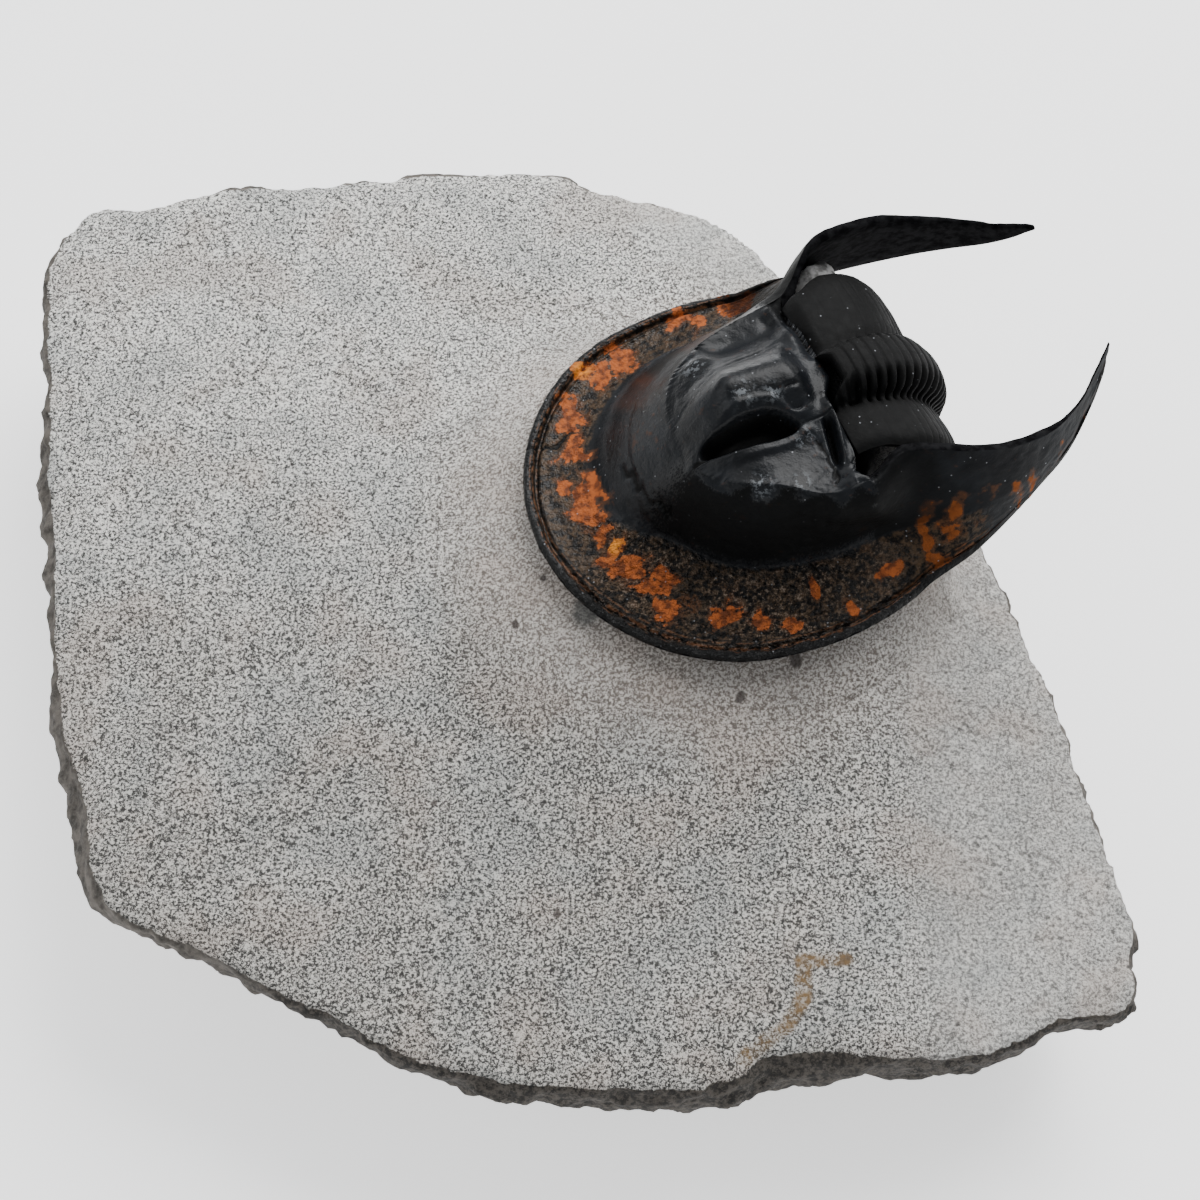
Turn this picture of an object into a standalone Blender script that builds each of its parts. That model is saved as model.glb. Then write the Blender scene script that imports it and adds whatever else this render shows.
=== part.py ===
"""A harpid trilobite on its limestone slab, for Blender 4.5 (metres, +Z up).

Four solids: the limestone matrix, the head shield with its brim and two long horns, the ribbed
thorax, and the small tail shield. The origin is the middle of the slab's footprint, on the table.

The animal has its own axes, in millimetres: a runs back from the front of the head, l runs out
to its right side, and d runs up from the plane of the brim's edge. Each shield is described as one
half, from l = 0 outwards, and built on both sides. Burial bent the animal a little: its right horn
leans outwards, and its ribbed axis leans to the right.
"""

import math

import bmesh
import bpy
from mathutils import Matrix, Vector, noise

MM = 0.001
COLLECTION = "trilobite_fossil"

# Where the animal lies on the slab.
HEAD_FRONT = (-1.2, 0.6)          # plan position of the front of the brim, mm
HEAD_TURN = math.radians(23.7)    # the animal's back-to-front line, turned from the X axis
BRIM_PLANE = 21.0                 # height of the brim's edge above the table, mm
FIT_GAP = 0.35                    # clear gap between neighbouring solids, mm

# Head shield: rails that a loft runs across, station by station, as (a, l, d).
RIM = [
    (0.0, 0.0, 0.0), (0.6, 4.1, 0.0), (2.4, 8.2, 0.0), (5.6, 12.0, 0.0), (10.2, 14.7, 0.0),
    (15.7, 15.7, 0.0), (19.8, 15.5, 0.0), (22.8, 14.9, 0.1),
    (24.6, 14.5, 0.9), (27.0, 13.8, 1.4), (30.6, 12.7, 2.4), (34.5, 11.2, 3.6),
    (37.6, 9.8, 4.5), (40.0, 8.2, 5.8), (41.6, 6.8, 7.5), (42.4, 5.7, 9.5),
]
FOOT = [
    (8.2, 0.0, 1.2), (8.5, 2.4, 1.2), (9.6, 4.9, 1.2), (11.7, 7.4, 1.3), (14.4, 9.0, 1.5),
    (17.4, 9.9, 1.9), (20.2, 10.3, 2.4), (22.4, 10.6, 3.4),
    (23.8, 11.2, 4.2), (26.8, 12.1, 5.5), (30.8, 12.1, 6.0), (34.7, 11.0, 6.1),
    (37.9, 9.5, 6.4), (40.2, 7.9, 7.3), (41.7, 6.5, 8.5), (42.4, 5.7, 9.5),
]
CREST = [
    (10.3, 0.0, 8.6), (10.5, 1.9, 8.6), (11.3, 3.9, 8.7), (12.9, 5.8, 9.2), (15.2, 7.1, 9.6),
    (18.0, 7.9, 9.7), (20.6, 8.2, 9.8), (22.6, 8.3, 10.1),
    (24.4, 8.6, 10.2), (26.6, 9.8, 11.1), (31.0, 10.85, 10.3), (34.9, 10.3, 9.1),
    (38.2, 8.9, 8.6), (40.3, 7.4, 8.8), (41.8, 6.2, 9.4), (42.4, 5.7, 9.5),
]
BORDER = [
    (22.3, 0.0, 10.8), (22.3, 1.2, 10.7), (22.25, 2.4, 10.4), (22.2, 3.7, 10.2),
    (22.2, 5.0, 10.1), (22.2, 6.2, 10.1), (22.3, 7.3, 10.1), (22.6, 8.3, 10.1),
]
CORNER = len(BORDER) - 1          # the station where the horn leaves the head
TIP = len(RIM) - 1
HEAD_STEPS = 3                    # loft rows in each stretch between stations
HORN_STEPS = 2

# Shell thickness below or inside each rail, as (inward, down), mm.
UNDER_HEAD = {"rim": (0.5, 0.9), "foot": (1.2, 1.0), "crest": (1.1, 1.3)}
UNDER_HORN = {"rim": (0.45, 0.15), "foot": (0.9, 0.0), "crest": (0.75, 0.1)}
VAULT_THICKNESS = 2.2
THINNEST = 0.45                   # the shell at a horn's tip against its base

# The horns' spread, mm: the right one leans out along its length, the left one near its base.
RIGHT_SPREAD, SPREAD_START, SPREAD_LENGTH = 0.5, 24.0, 5.0
SPREAD_EASE, EASE_START, EASE_LENGTH = 0.45, 36.0, 5.0
LEFT_SPREAD, LEFT_PLACE, LEFT_LENGTH, LEFT_FLOOR, LEFT_CLIMB = 0.55, 26.2, 2.8, 4.0, 4.0

# The head between its crests, mm: a broad form, and the relief that stands on it.
FORM_TOP, FORM_FALL, FORM_FALL_WIDTH = 12.1, 2.9, 5.6
CHEEK_RISE, CHEEK_WIDTH = 0.4, 2.2
REAR_HEIGHT, REAR_START, REAR_LENGTH = 10.4, 19.0, 3.2
CREST_REACH, CREST_REACH_SHARE = 3.5, 0.6
FURROW_FRONT, FURROW_LENGTH = 11.0, 11.0
FURROW_INNER, FURROW_SPREAD = 2.3, 1.2
FURROW_DEPTH, FURROW_WIDTH = 1.5, 0.6
EYE, EYE_HEIGHT, EYE_WIDTH = (14.8, 5.6), 0.7, 0.9
NECK_GROOVE, NECK_DEPTH, NECK_WIDTH, NECK_END = 20.6, 0.8, 0.5, 6.4

# The brim from its edge to the foot of the vault: (share of the width, lift in mm).
BRIM_PROFILE = [
    (0.0, 0.0), (0.04, 0.3), (0.11, 0.32), (0.15, -0.15), (0.2, 0.1), (0.3, -0.15),
    (0.55, -0.25), (0.8, -0.2),
]
# The steep flank from that foot to the crest: (share inwards, share upwards).
FLANK_PROFILE = [(0.0, 0.0), (0.22, 0.3), (0.42, 0.62), (0.68, 0.87)]
VAULT_SHARES = [0.0, 0.1, 0.2, 0.3, 0.4, 0.5, 0.6, 0.7, 0.79, 0.86, 0.93, 1.0]
VAULT_UNDER_SHARES = [0.0, 0.3, 0.65, 1.0]

# Thorax: a plate rolled round an axis that lies across the animal.
ROLL_AXIS = (23.2, 3.1)           # (a, d) of that axis
SEGMENTS = 20
SEGMENT_ANGLE = math.radians(5.7)
FIRST_ANGLE = math.radians(92.5)
# Across one segment, from the midline to the pleural edge: (l, radius).
THORAX_SECTION = [
    (0.0, 8.95), (1.0, 8.85), (1.75, 8.55), (2.3, 7.9), (2.65, 6.9), (3.7, 7.05), (5.5, 7.15),
    (7.1, 7.05), (8.0, 6.65),
]
THORAX_UNDER = [(0.0, 7.6), (1.4, 7.3), (2.5, 6.2), (5.5, 6.2), (7.8, 6.2)]
AXIS_WIDTH, AXIS_EDGE = 2.45, 0.5 # half-width of the axial lobe, and of its fall, mm
PLEURA_RADIUS = 7.05
UNDER_RADIUS = 6.2
AXIS_LEAN, LEAN_REACH = 1.1, 8.0  # the axis's shift to the right, and the l where it ends
# The left side's stretch backwards, mm, and where it starts and is complete, by a and by l.
STRETCH, STRETCH_START, STRETCH_LENGTH, STRETCH_SIDE, STRETCH_WIDTH = 0.85, 22.9, 4.0, 1.2, 2.5
# Along one segment: (share of its length, share of the groove's depth).
SEGMENT_PROFILE = [(0.0, 1.0), (0.3, 0.12), (0.8, 0.0)]
RING_GROOVE = 0.55
PLEURA_GROOVE = 0.07
THORAX_START_WIDTH = 0.87         # the first segment's width against the widest
THORAX_END_WIDTH = 0.68           # the last segment's
HEIGHT_KEPT = 0.4                 # the relief's share that stays however narrow the segment

# Tail shield, on the same roll.
TAIL_GAP = math.radians(3.0)
TAIL_ANGLE = math.radians(24)
TAIL_SECTION = [(0.0, 8.5), (0.22, 8.3), (0.36, 7.4), (0.7, 7.4), (1.0, 6.9)]
TAIL_UNDER = [(0.0, 6.6), (0.5, 6.3), (0.97, 6.25)]
TAIL_HALF_WIDTH = 5.2
TAIL_ROWS = 7
TAIL_ROUNDING, TAIL_DROP = 0.94, 0.5

# Slab: the widest outline from above, as (x, y, width and height of the broken bevel above it), mm.
OUTLINE = [
    (-41.0, 29.8, 0.9, 1.6), (-40.5, 31.3, 1.0, 1.4), (-40.3, 32.7, 1.2, 1.2),
    (-38.8, 34.9, 1.2, 1.0), (-37.4, 35.4, 0.8, 0.9), (-33.2, 35.4, 0.3, 0.9),
    (-29.1, 36.8, 0.3, 0.9), (-27.5, 37.2, 0.3, 0.9), (-20.0, 38.0, 0.3, 0.9),
    (-11.3, 38.8, 0.3, 0.9), (-6.4, 39.2, 0.3, 0.9), (-3.5, 39.35, 0.3, 0.9),
    (-0.5, 39.0, 0.3, 0.9), (3.2, 37.5, 0.3, 0.9), (6.7, 36.5, 0.3, 0.9), (11.2, 35.2, 0.3, 0.9),
    (13.8, 33.8, 0.3, 0.9), (15.8, 31.7, 0.3, 0.9), (17.5, 29.4, 0.3, 0.9), (19.8, 26.6, 0.4, 1.0),
    (21.2, 23.8, 0.4, 1.0), (22.8, 19.8, 0.4, 1.0), (23.9, 15.2, 0.4, 1.0), (25.4, 11.6, 0.4, 1.0),
    (26.8, 8.6, 0.4, 1.0), (29.5, 6.1, 0.4, 1.0), (32.1, 4.3, 0.4, 1.0), (33.6, -0.4, 0.4, 1.0),
    (35.0, -4.6, 0.4, 1.0), (36.9, -10.6, 0.4, 1.0), (37.9, -15.2, 0.4, 1.0),
    (38.9, -19.9, 0.4, 1.2), (40.2, -23.8, 0.5, 1.2), (41.0, -27.5, 0.6, 1.5),
    (40.4, -29.2, 0.6, 1.4), (40.5, -32.1, 0.6, 1.6), (39.8, -33.4, 0.4, 1.4),
    (36.9, -33.4, 0.3, 1.1), (34.4, -33.9, 0.3, 1.1), (33.1, -34.9, 0.3, 1.2),
    (29.7, -36.5, 0.4, 1.4), (26.7, -36.9, 0.4, 1.4), (21.9, -36.6, 0.5, 1.7),
    (20.2, -36.7, 1.0, 2.6), (17.0, -37.1, 1.4, 3.2), (14.1, -37.7, 1.4, 3.3),
    (12.8, -38.8, 1.2, 3.1), (9.6, -39.3, 0.8, 2.7), (3.0, -39.35, 0.8, 2.7),
    (-0.2, -39.0, 0.7, 2.5), (-3.8, -38.7, 0.5, 1.9), (-8.3, -37.3, 0.3, 1.2),
    (-12.0, -35.7, 0.3, 1.0), (-15.0, -33.9, 0.3, 1.0), (-18.5, -32.2, 0.3, 1.0),
    (-23.5, -29.6, 0.3, 1.0), (-28.9, -26.9, 0.3, 1.0), (-31.6, -25.7, 0.4, 1.2),
    (-33.2, -23.7, 1.2, 2.2), (-34.4, -19.4, 1.5, 2.8), (-35.2, -16.2, 1.5, 2.6),
    (-36.2, -12.9, 1.1, 2.1), (-36.8, -9.7, 1.0, 2.0), (-37.5, -4.6, 0.9, 2.0),
    (-38.3, 2.4, 0.9, 2.0), (-38.9, 5.4, 1.1, 2.1), (-40.0, 10.2, 1.3, 2.6),
    (-39.7, 12.0, 1.2, 2.2), (-39.9, 18.6, 0.9, 1.6), (-40.4, 21.2, 0.9, 1.6),
    (-40.4, 24.9, 0.9, 1.6),
]
SLAB_TOP = 15.5                   # height of the worn top surface near the animal's side, mm
SLAB_RISE = 1.2                   # how much higher the far left corner is, mm
FOOTPRINT = 0.78                  # the flat base's size against the outline's
FOOTPRINT_SHIFT = (1.5, 1.0)
UNDERCUT_HEIGHT = 6.0
BELLY = 0.93                      # the side's size at that height against the outline's
ROUGH_BASE, ROUGH_BELLY = 0.03, 0.02
PEDESTAL_TOP = -1.3               # d of the rock that carries the brim
PEDESTAL_INSET = 0.9              # how far it stays inside the brim's edge
APRON, APRON_GROWTH = 2.2, 3.2    # width of the slope round the pedestal, rear and more ahead
APRON_SHARE = 0.45                # the most of the top surface that it takes
FOOT_DROP, FOOT_RISE = 5.0, 1.9   # the slope's foot below the brim plane, and its rise ahead
NARROW_TOP, NARROW_DROP = 5.0, 3.4
FALL_LENGTH = 5.0                 # how quickly the top surface levels off beyond it
RING_SHARES = [0.12, 0.28, 0.5, 0.76]
HEAD_CENTRE = 16.0                # a of the point that the slab's rings run round
BED_RADIUS = 5.85                 # rock that the thorax is rolled round
BED_HALF_WIDTH = 6.9
BED_FRONT = 22.65
WEB_INSIDE = 8.4                  # l of the rock wall beside the thorax
WEB_TOPS = [(7.9, 6.5), (8.3, 7.6), (8.8, 8.2), (9.3, 6.4)]   # (station, d of its top)
WEB_SHOULDER, WEB_RIM_INSET = 0.4, 0.6
ROCK_ROOT = -7.0                  # d where the web's rock ends inside the slab
REAR_FILL = ((18.5, -6.4, -2.5), (24.0, 6.4, 6.3))
PEDESTAL_REAR = [(27.0, 12.0), (27.6, 10.6), (26.2, 9.2), (26.2, 4.0)]
PEDESTAL_LAST = 8.5               # the last station whose rim the pedestal follows


def smooth(value):
    value = min(max(value, 0.0), 1.0)
    return value * value * (3 - 2 * value)


def hump(distance, width):
    return math.exp(-((distance / width) ** 2))


def mix(start, end, share):
    return tuple(s + (e - s) * share for s, e in zip(start, end))


def along(rail, place):
    """A smooth curve through a rail's points; place counts its stations."""
    first = min(int(place), len(rail) - 2)
    t = place - first
    before = rail[max(first - 1, 0)]
    after = rail[min(first + 2, len(rail) - 1)]
    values = []
    for p0, p1, p2, p3 in zip(before, rail[first], rail[first + 1], after):
        bend = (2 * p0 - 5 * p1 + 4 * p2 - p3) * t * t + (3 * p1 - p0 - 3 * p2 + p3) * t ** 3
        values.append(p1 + 0.5 * ((p2 - p0) * t + bend))
    return tuple(values)


def vault_form(a, l):
    """The broad form of the head between its crests."""
    height = FORM_TOP - FORM_FALL * smooth(l / FORM_FALL_WIDTH)
    height += CHEEK_RISE * smooth((l - FORM_FALL_WIDTH) / CHEEK_WIDTH)
    return height + (REAR_HEIGHT - height) * smooth((a - REAR_START) / REAR_LENGTH)


def vault_height(a, l):
    """The relief on that form: glabella, furrows, eyes and the groove before the border."""
    furrow_line = FURROW_INNER + FURROW_SPREAD * smooth((a - FURROW_FRONT) / FURROW_LENGTH)
    furrow_reach = smooth((a - FURROW_FRONT - 0.5) / 3) * (1 - smooth((a - 18.7) / 2))
    height = vault_form(a, l)
    height -= FURROW_DEPTH * furrow_reach * hump(l - furrow_line, FURROW_WIDTH)
    height += EYE_HEIGHT * hump(math.hypot(a - EYE[0], l - EYE[1]), EYE_WIDTH)
    return height - NECK_DEPTH * hump(a - NECK_GROOVE, NECK_WIDTH) * (1 - smooth((l - NECK_END) / 1.4))


def inward(place):
    """The plan direction from the rim to the crest at this station."""
    rim = along(RIM, place)
    crest = along(CREST, place)
    step = Vector((crest[0] - rim[0], crest[1] - rim[1]))
    if step.length < 1e-6:
        return Vector((0.0, -1.0))
    return step.normalized()


def inside(point, place, rail_name, extra=0.0):
    """The point of the shell's inner face that goes with a point of its outer face."""
    horn = smooth((place - CORNER) / 1.5)
    depth = mix(UNDER_HEAD[rail_name], UNDER_HORN[rail_name], horn)
    taper = 1 - (1 - THINNEST) * smooth((place - CORNER - 2) / 6)
    step = inward(place) * (depth[0] * taper + extra)
    if place == 0:
        step.y = 0.0
    return (point[0] + step.x, max(point[1] + step.y, 0.0), point[2] - depth[1] * taper - extra)


def vault_point(place, share, lower=0.0):
    """A point between crest and border, or one this far below the broad form."""
    crest = along(CREST, place)
    border = along(BORDER, place)
    a, l, _ = mix(crest, border, share)
    run = math.hypot(a - crest[0], l - crest[1])
    full = math.hypot(border[0] - crest[0], border[1] - crest[1])
    reach = min(CREST_REACH, CREST_REACH_SHARE * full) + 1e-6
    relief = vault_form(a, l) if lower else vault_height(a, l)
    corner = smooth((place - CORNER + 1.2) / 1.2)
    relief += (crest[2] - relief) * corner
    height = crest[2] + (relief - crest[2]) * smooth(run / reach + 0.02)
    return (a, l, height - lower)


def outer_row(place):
    """One loft row of the shield's outer face, from the rim inwards."""
    rim = along(RIM, place)
    foot = along(FOOT, place)
    crest = along(CREST, place)
    flat = 1 - 0.6 * smooth((place - CORNER) / 3)
    narrow = 1 - smooth((place - TIP + 2) / 2)
    row = []
    for share, lift in BRIM_PROFILE:
        a, l, d = mix(rim, foot, share)
        row.append((a, l, d + lift * flat * narrow))
    horn = smooth((place - CORNER) / 1.5)
    for across, up in FLANK_PROFILE:
        across += (up - across) * horn
        a, l, _ = mix(foot, crest, across)
        row.append((a, l, foot[2] + (crest[2] - foot[2]) * up))
    if place > CORNER:
        row.append(crest)
    else:
        row += [vault_point(place, share) for share in VAULT_SHARES]
    return row


def inner_row(place, extra=0.0):
    """The matching row of the inner face, from the rim inwards."""
    row = [
        inside(along(rail, place), place, name, extra)
        for rail, name in ((RIM, "rim"), (FOOT, "foot"), (CREST, "crest"))
    ]
    if place > CORNER:
        return row
    outer_crest = along(CREST, place)
    crest = row[-1]
    narrow = crest[1] / outer_crest[1] if outer_crest[1] > 0 else 1.0
    clear = smooth((CORNER - place) / 1.5)
    for share in VAULT_UNDER_SHARES[1:]:
        a, l, d = vault_point(place, share, VAULT_THICKNESS + extra)
        a += (crest[0] - outer_crest[0]) * (1 - share)
        d = crest[2] + (min(d, crest[2]) - crest[2]) * clear if place > 3 else d
        row.append((a, l * narrow, d))
    if place == CORNER:
        row[3:] = [crest] * (len(VAULT_UNDER_SHARES) - 1)
    row[2] = (crest[0], crest[1], min(crest[2], row[3][2]))
    return row


def places(last, tip=False):
    """Loft places from the midline to a station, closer together on the head."""
    found = [i / HEAD_STEPS for i in range(min(last, CORNER) * HEAD_STEPS + 1)]
    if tip:
        found += [CORNER + i / HORN_STEPS for i in range(1, (TIP - CORNER) * HORN_STEPS + 1)]
    return found


def spread(a, l, d):
    """The head with its horns leaned outwards."""
    if l <= 0:
        high = smooth((d - LEFT_FLOOR) / LEFT_CLIMB)
        return (a, l - LEFT_SPREAD * hump(a - LEFT_PLACE, LEFT_LENGTH) * high, d)
    out = RIGHT_SPREAD * smooth((a - SPREAD_START) / SPREAD_LENGTH)
    return (a, l + out * (1 - SPREAD_EASE * smooth((a - EASE_START) / EASE_LENGTH)), d)


def leaned(a, l, d):
    """The thorax or the tail, its axis shifted to the right and its left side stretched back."""
    stretch = STRETCH * smooth((a - STRETCH_START) / STRETCH_LENGTH)
    stretch *= smooth((-l - STRETCH_SIDE) / STRETCH_WIDTH)
    return (a + stretch, l + AXIS_LEAN * (1 - min(abs(l) / LEAN_REACH, 1.0) ** 2), d)


class Skin:
    """Collects faces over points in (a, l, d), and makes one vertex for each place in space."""

    def __init__(self, bend=None):
        self.mesh = bmesh.new()
        self.bend = bend
        self.known = {}
        self.side = 1

    def vertex(self, point):
        a, l, d = point
        place = (a, l * self.side, d)
        if self.bend:
            place = self.bend(*place)
        key = tuple(round(value, 4) for value in place)
        if key not in self.known:
            a, l, d = place
            self.known[key] = self.mesh.verts.new((a * MM, -l * MM, d * MM))
        return self.known[key]

    def face(self, points):
        corners = []
        for point in points:
            vertex = self.vertex(point)
            if vertex not in corners:
                corners.append(vertex)
        if len(corners) > 2 and self.mesh.faces.get(corners) is None:
            self.mesh.faces.new(corners)

    def strip(self, row, following):
        """Quads between two rows with the same number of points."""
        for j in range(len(row) - 1):
            self.face([row[j], row[j + 1], following[j + 1], following[j]])

    def made(self, name):
        return laid_on_slab(made(self.mesh, name))


def made(mesh, name):
    """The object of a finished mesh."""
    bmesh.ops.recalc_face_normals(mesh, faces=mesh.faces)
    data = bpy.data.meshes.new(name)
    mesh.to_mesh(data)
    mesh.free()
    return bpy.data.objects.new(name, data)


def laid_on_slab(obj):
    """Puts an object that is modelled in the animal's axes where the animal lies."""
    obj.location = (HEAD_FRONT[0] * MM, HEAD_FRONT[1] * MM, BRIM_PLANE * MM)
    obj.rotation_euler = (0, 0, HEAD_TURN)
    return obj


def plan(a, l):
    """Row-frame plan position, in millimetres, of a point of the animal."""
    back = Vector((math.cos(HEAD_TURN), math.sin(HEAD_TURN)))
    side = Vector((math.sin(HEAD_TURN), -math.cos(HEAD_TURN)))
    return Vector(HEAD_FRONT) + back * a + side * l


def make_cephalon():
    skin = Skin(bend=spread)
    stations = places(TIP, tip=True)
    outer = [outer_row(place) for place in stations]
    inner = [inner_row(place) for place in stations]
    tip = along(RIM, TIP)
    outer[-1] = [tip] * len(outer[-1])
    inner[-1] = [tip] * len(inner[-1])
    flank = len(BRIM_PROFILE) + len(FLANK_PROFILE)
    for skin.side in (1, -1):
        for i in range(len(stations) - 1):
            on_head = stations[i + 1] <= CORNER
            wide, wide_in = (None, None) if on_head else (flank + 1, 3)
            skin.strip(outer[i][:wide], outer[i + 1][:wide])
            skin.strip(inner[i][:wide_in], inner[i + 1][:wide_in])
            skin.face([outer[i][0], outer[i + 1][0], inner[i + 1][0], inner[i][0]])
            last, last_in = (-1, -1) if on_head else (flank, 2)
            skin.face(
                [outer[i][last], outer[i + 1][last], inner[i + 1][last_in], inner[i][last_in]]
            )
    return skin.made("cephalon")


def rolled(l, radius, angle):
    """A point at this radius and angle round the thorax's roll axis."""
    return (ROLL_AXIS[0] + radius * math.cos(angle), l, ROLL_AXIS[1] + radius * math.sin(angle))


def thorax_rows(share, depth):
    """Outer and inner points of one thorax row, share 0 at the head and 1 at the tail."""
    angle = FIRST_ANGLE - SEGMENTS * SEGMENT_ANGLE * share
    width = 1 - (1 - THORAX_START_WIDTH) * (1 - smooth(share / 0.2))
    width -= (1 - THORAX_END_WIDTH) * smooth((share - 0.5) / 0.5)
    relief = HEIGHT_KEPT + (1 - HEIGHT_KEPT) * width
    outer = []
    for l, radius in THORAX_SECTION:
        on_ring = 1 - smooth((l - AXIS_WIDTH) / AXIS_EDGE)
        groove = PLEURA_GROOVE + (RING_GROOVE - PLEURA_GROOVE) * on_ring
        proud = PLEURA_RADIUS + (radius - PLEURA_RADIUS) * relief
        outer.append(rolled(l * width, proud - groove * depth, angle))
    inner = []
    for l, radius in THORAX_UNDER:
        proud = UNDER_RADIUS + (radius - UNDER_RADIUS) * relief
        inner.append(rolled(l * width, proud, angle))
    return outer, inner


def plate(rows, name):
    """A closed plate from rows of outer and inner points, built on both sides."""
    skin = Skin(bend=leaned)
    for skin.side in (1, -1):
        for (outer, inner), (next_outer, next_inner) in zip(rows, rows[1:]):
            skin.strip(outer, next_outer)
            skin.strip(inner, next_inner)
            skin.face([outer[-1], next_outer[-1], next_inner[-1], inner[-1]])
        for outer, inner in (rows[0], rows[-1]):
            skin.face(outer + inner[::-1])
    return skin.made(name)


def make_thorax():
    rows = []
    for segment in range(SEGMENTS):
        for share, depth in SEGMENT_PROFILE:
            rows.append(thorax_rows((segment + share) / SEGMENTS, depth))
    rows.append(thorax_rows(1.0, 1.0))
    return plate(rows, "thorax")


def make_pygidium():
    start = FIRST_ANGLE - SEGMENTS * SEGMENT_ANGLE - TAIL_GAP
    rows = []
    for i in range(TAIL_ROWS):
        share = i / (TAIL_ROWS - 1)
        half_width = TAIL_HALF_WIDTH * math.sqrt(1 - TAIL_ROUNDING * share ** 2)
        angle = start - TAIL_ANGLE * share
        drop = TAIL_DROP * share
        outer = [rolled(l * half_width, radius - drop, angle) for l, radius in TAIL_SECTION]
        inner = [rolled(l * half_width, radius, angle) for l, radius in TAIL_UNDER]
        rows.append((outer, inner))
    return plate(rows, "pygidium")


def pedestal_outline():
    """The edge of the rock that carries the brim, as plan points round the head."""
    half = []
    for step in range(int(PEDESTAL_LAST * 4) + 1):
        place = step / 4
        a, l, _ = along(RIM, place)
        way = inward(place) * PEDESTAL_INSET
        half.append((a + way.x, max(l + way.y, 0.0)))
    half += PEDESTAL_REAR
    return [plan(a, l) for a, l in half] + [plan(a, -l) for a, l in reversed(half)]


def reach(outline, centre, direction):
    """How far from the centre a ray leaves an outline."""
    best = 0.0
    for start, end in zip(outline, outline[1:] + outline[:1]):
        edge = end - start
        turn = direction.cross(edge)
        if abs(turn) < 1e-9:
            continue
        distance = (start - centre).cross(edge) / turn
        share = (start - centre).cross(direction) / turn
        if distance > 0 and -1e-6 <= share <= 1 + 1e-6:
            best = max(best, distance)
    return best


def slab_height(x, y):
    """The worn top surface away from the animal, mm above the table."""
    slope = SLAB_RISE * (smooth((30 - x) / 80) * 0.6 + smooth((y + 40) / 80) * 0.4)
    wave = 0.5 * noise.noise(Vector((x * 0.045, y * 0.045, 3.1)))
    return SLAB_TOP + slope + wave


def slab_column(edge, bevel, drop, centre, head, ahead_way):
    """Points up the slab's side and over its top to the pedestal, as (plan point, height)."""
    ray = (edge - centre).normalized()
    rough = noise.noise(Vector((edge.x * 0.21, edge.y * 0.21, 7.7)))
    top_edge = edge - ray * bevel
    top = slab_height(*top_edge)
    shift = Vector(FOOTPRINT_SHIFT)
    column = [
        (edge * (FOOTPRINT + ROUGH_BASE * rough) + shift, 0.0),
        (edge * (BELLY + ROUGH_BELLY * rough) + shift * 0.4, UNDERCUT_HEIGHT + rough),
        (edge, top - drop),
        (top_edge, top),
    ]
    foot_reach = reach(head, centre, ray)
    room = (top_edge - centre).length - foot_reach
    ahead = 0.5 + 0.5 * ray.dot(ahead_way)
    foot = centre + ray * (foot_reach + min(APRON + APRON_GROWTH * ahead, APRON_SHARE * room))
    foot_height = BRIM_PLANE - FOOT_DROP + FOOT_RISE * smooth(ahead * 1.6 - 0.6)
    foot_height = max(foot_height, slab_height(*foot))
    if room < NARROW_TOP:
        foot_height = BRIM_PLANE - NARROW_DROP
    for share in reversed(RING_SHARES):
        point = foot.lerp(top_edge, share)
        fall = math.exp(-(point - foot).length / FALL_LENGTH)
        rise = (foot_height - slab_height(*foot)) * fall
        column.append((point, slab_height(*point) + rise))
    column.append((foot, foot_height))
    column.append((centre + ray * foot_reach, BRIM_PLANE + PEDESTAL_TOP))
    column.append((centre + ray * foot_reach / 2, BRIM_PLANE + PEDESTAL_TOP))
    return column


def make_slab():
    """The slab as rings round the head, from its flat base up its sides and over its top."""
    mesh = bmesh.new()
    centre = plan(HEAD_CENTRE, 0.0)
    head = pedestal_outline()
    ahead_way = (plan(0, 0) - centre).normalized()
    columns = []
    for x, y, bevel, drop in OUTLINE:
        column = slab_column(Vector((x, y)), bevel, drop, centre, head, ahead_way)
        columns.append([mesh.verts.new((p.x * MM, p.y * MM, h * MM)) for p, h in column])
    for column, following in zip(columns, columns[1:] + columns[:1]):
        for j in range(len(column) - 1):
            mesh.faces.new([column[j], following[j], following[j + 1], column[j + 1]])
    mesh.faces.new([column[0] for column in columns])
    mesh.faces.new([column[-1] for column in columns])
    return made(mesh, "matrix")


def make_vault_rock():
    """The rock that fills the head, one fitting gap below its inner face."""
    skin = Skin()
    bottom = PEDESTAL_TOP - 1.0
    rows = []
    for place in places(CORNER):
        row = inner_row(place, FIT_GAP)[1:]
        under = (row[0][0], row[0][1], bottom)
        rear = (row[-1][0], row[-1][1], bottom)
        rows.append([under] + row + [rear])
    for skin.side in (1, -1):
        for row, following in zip(rows, rows[1:]):
            skin.strip(row, following)
            skin.face([row[0], following[0], following[-1], row[-1]])
        skin.face(rows[-1])
    return skin.made("vault rock")


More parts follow.
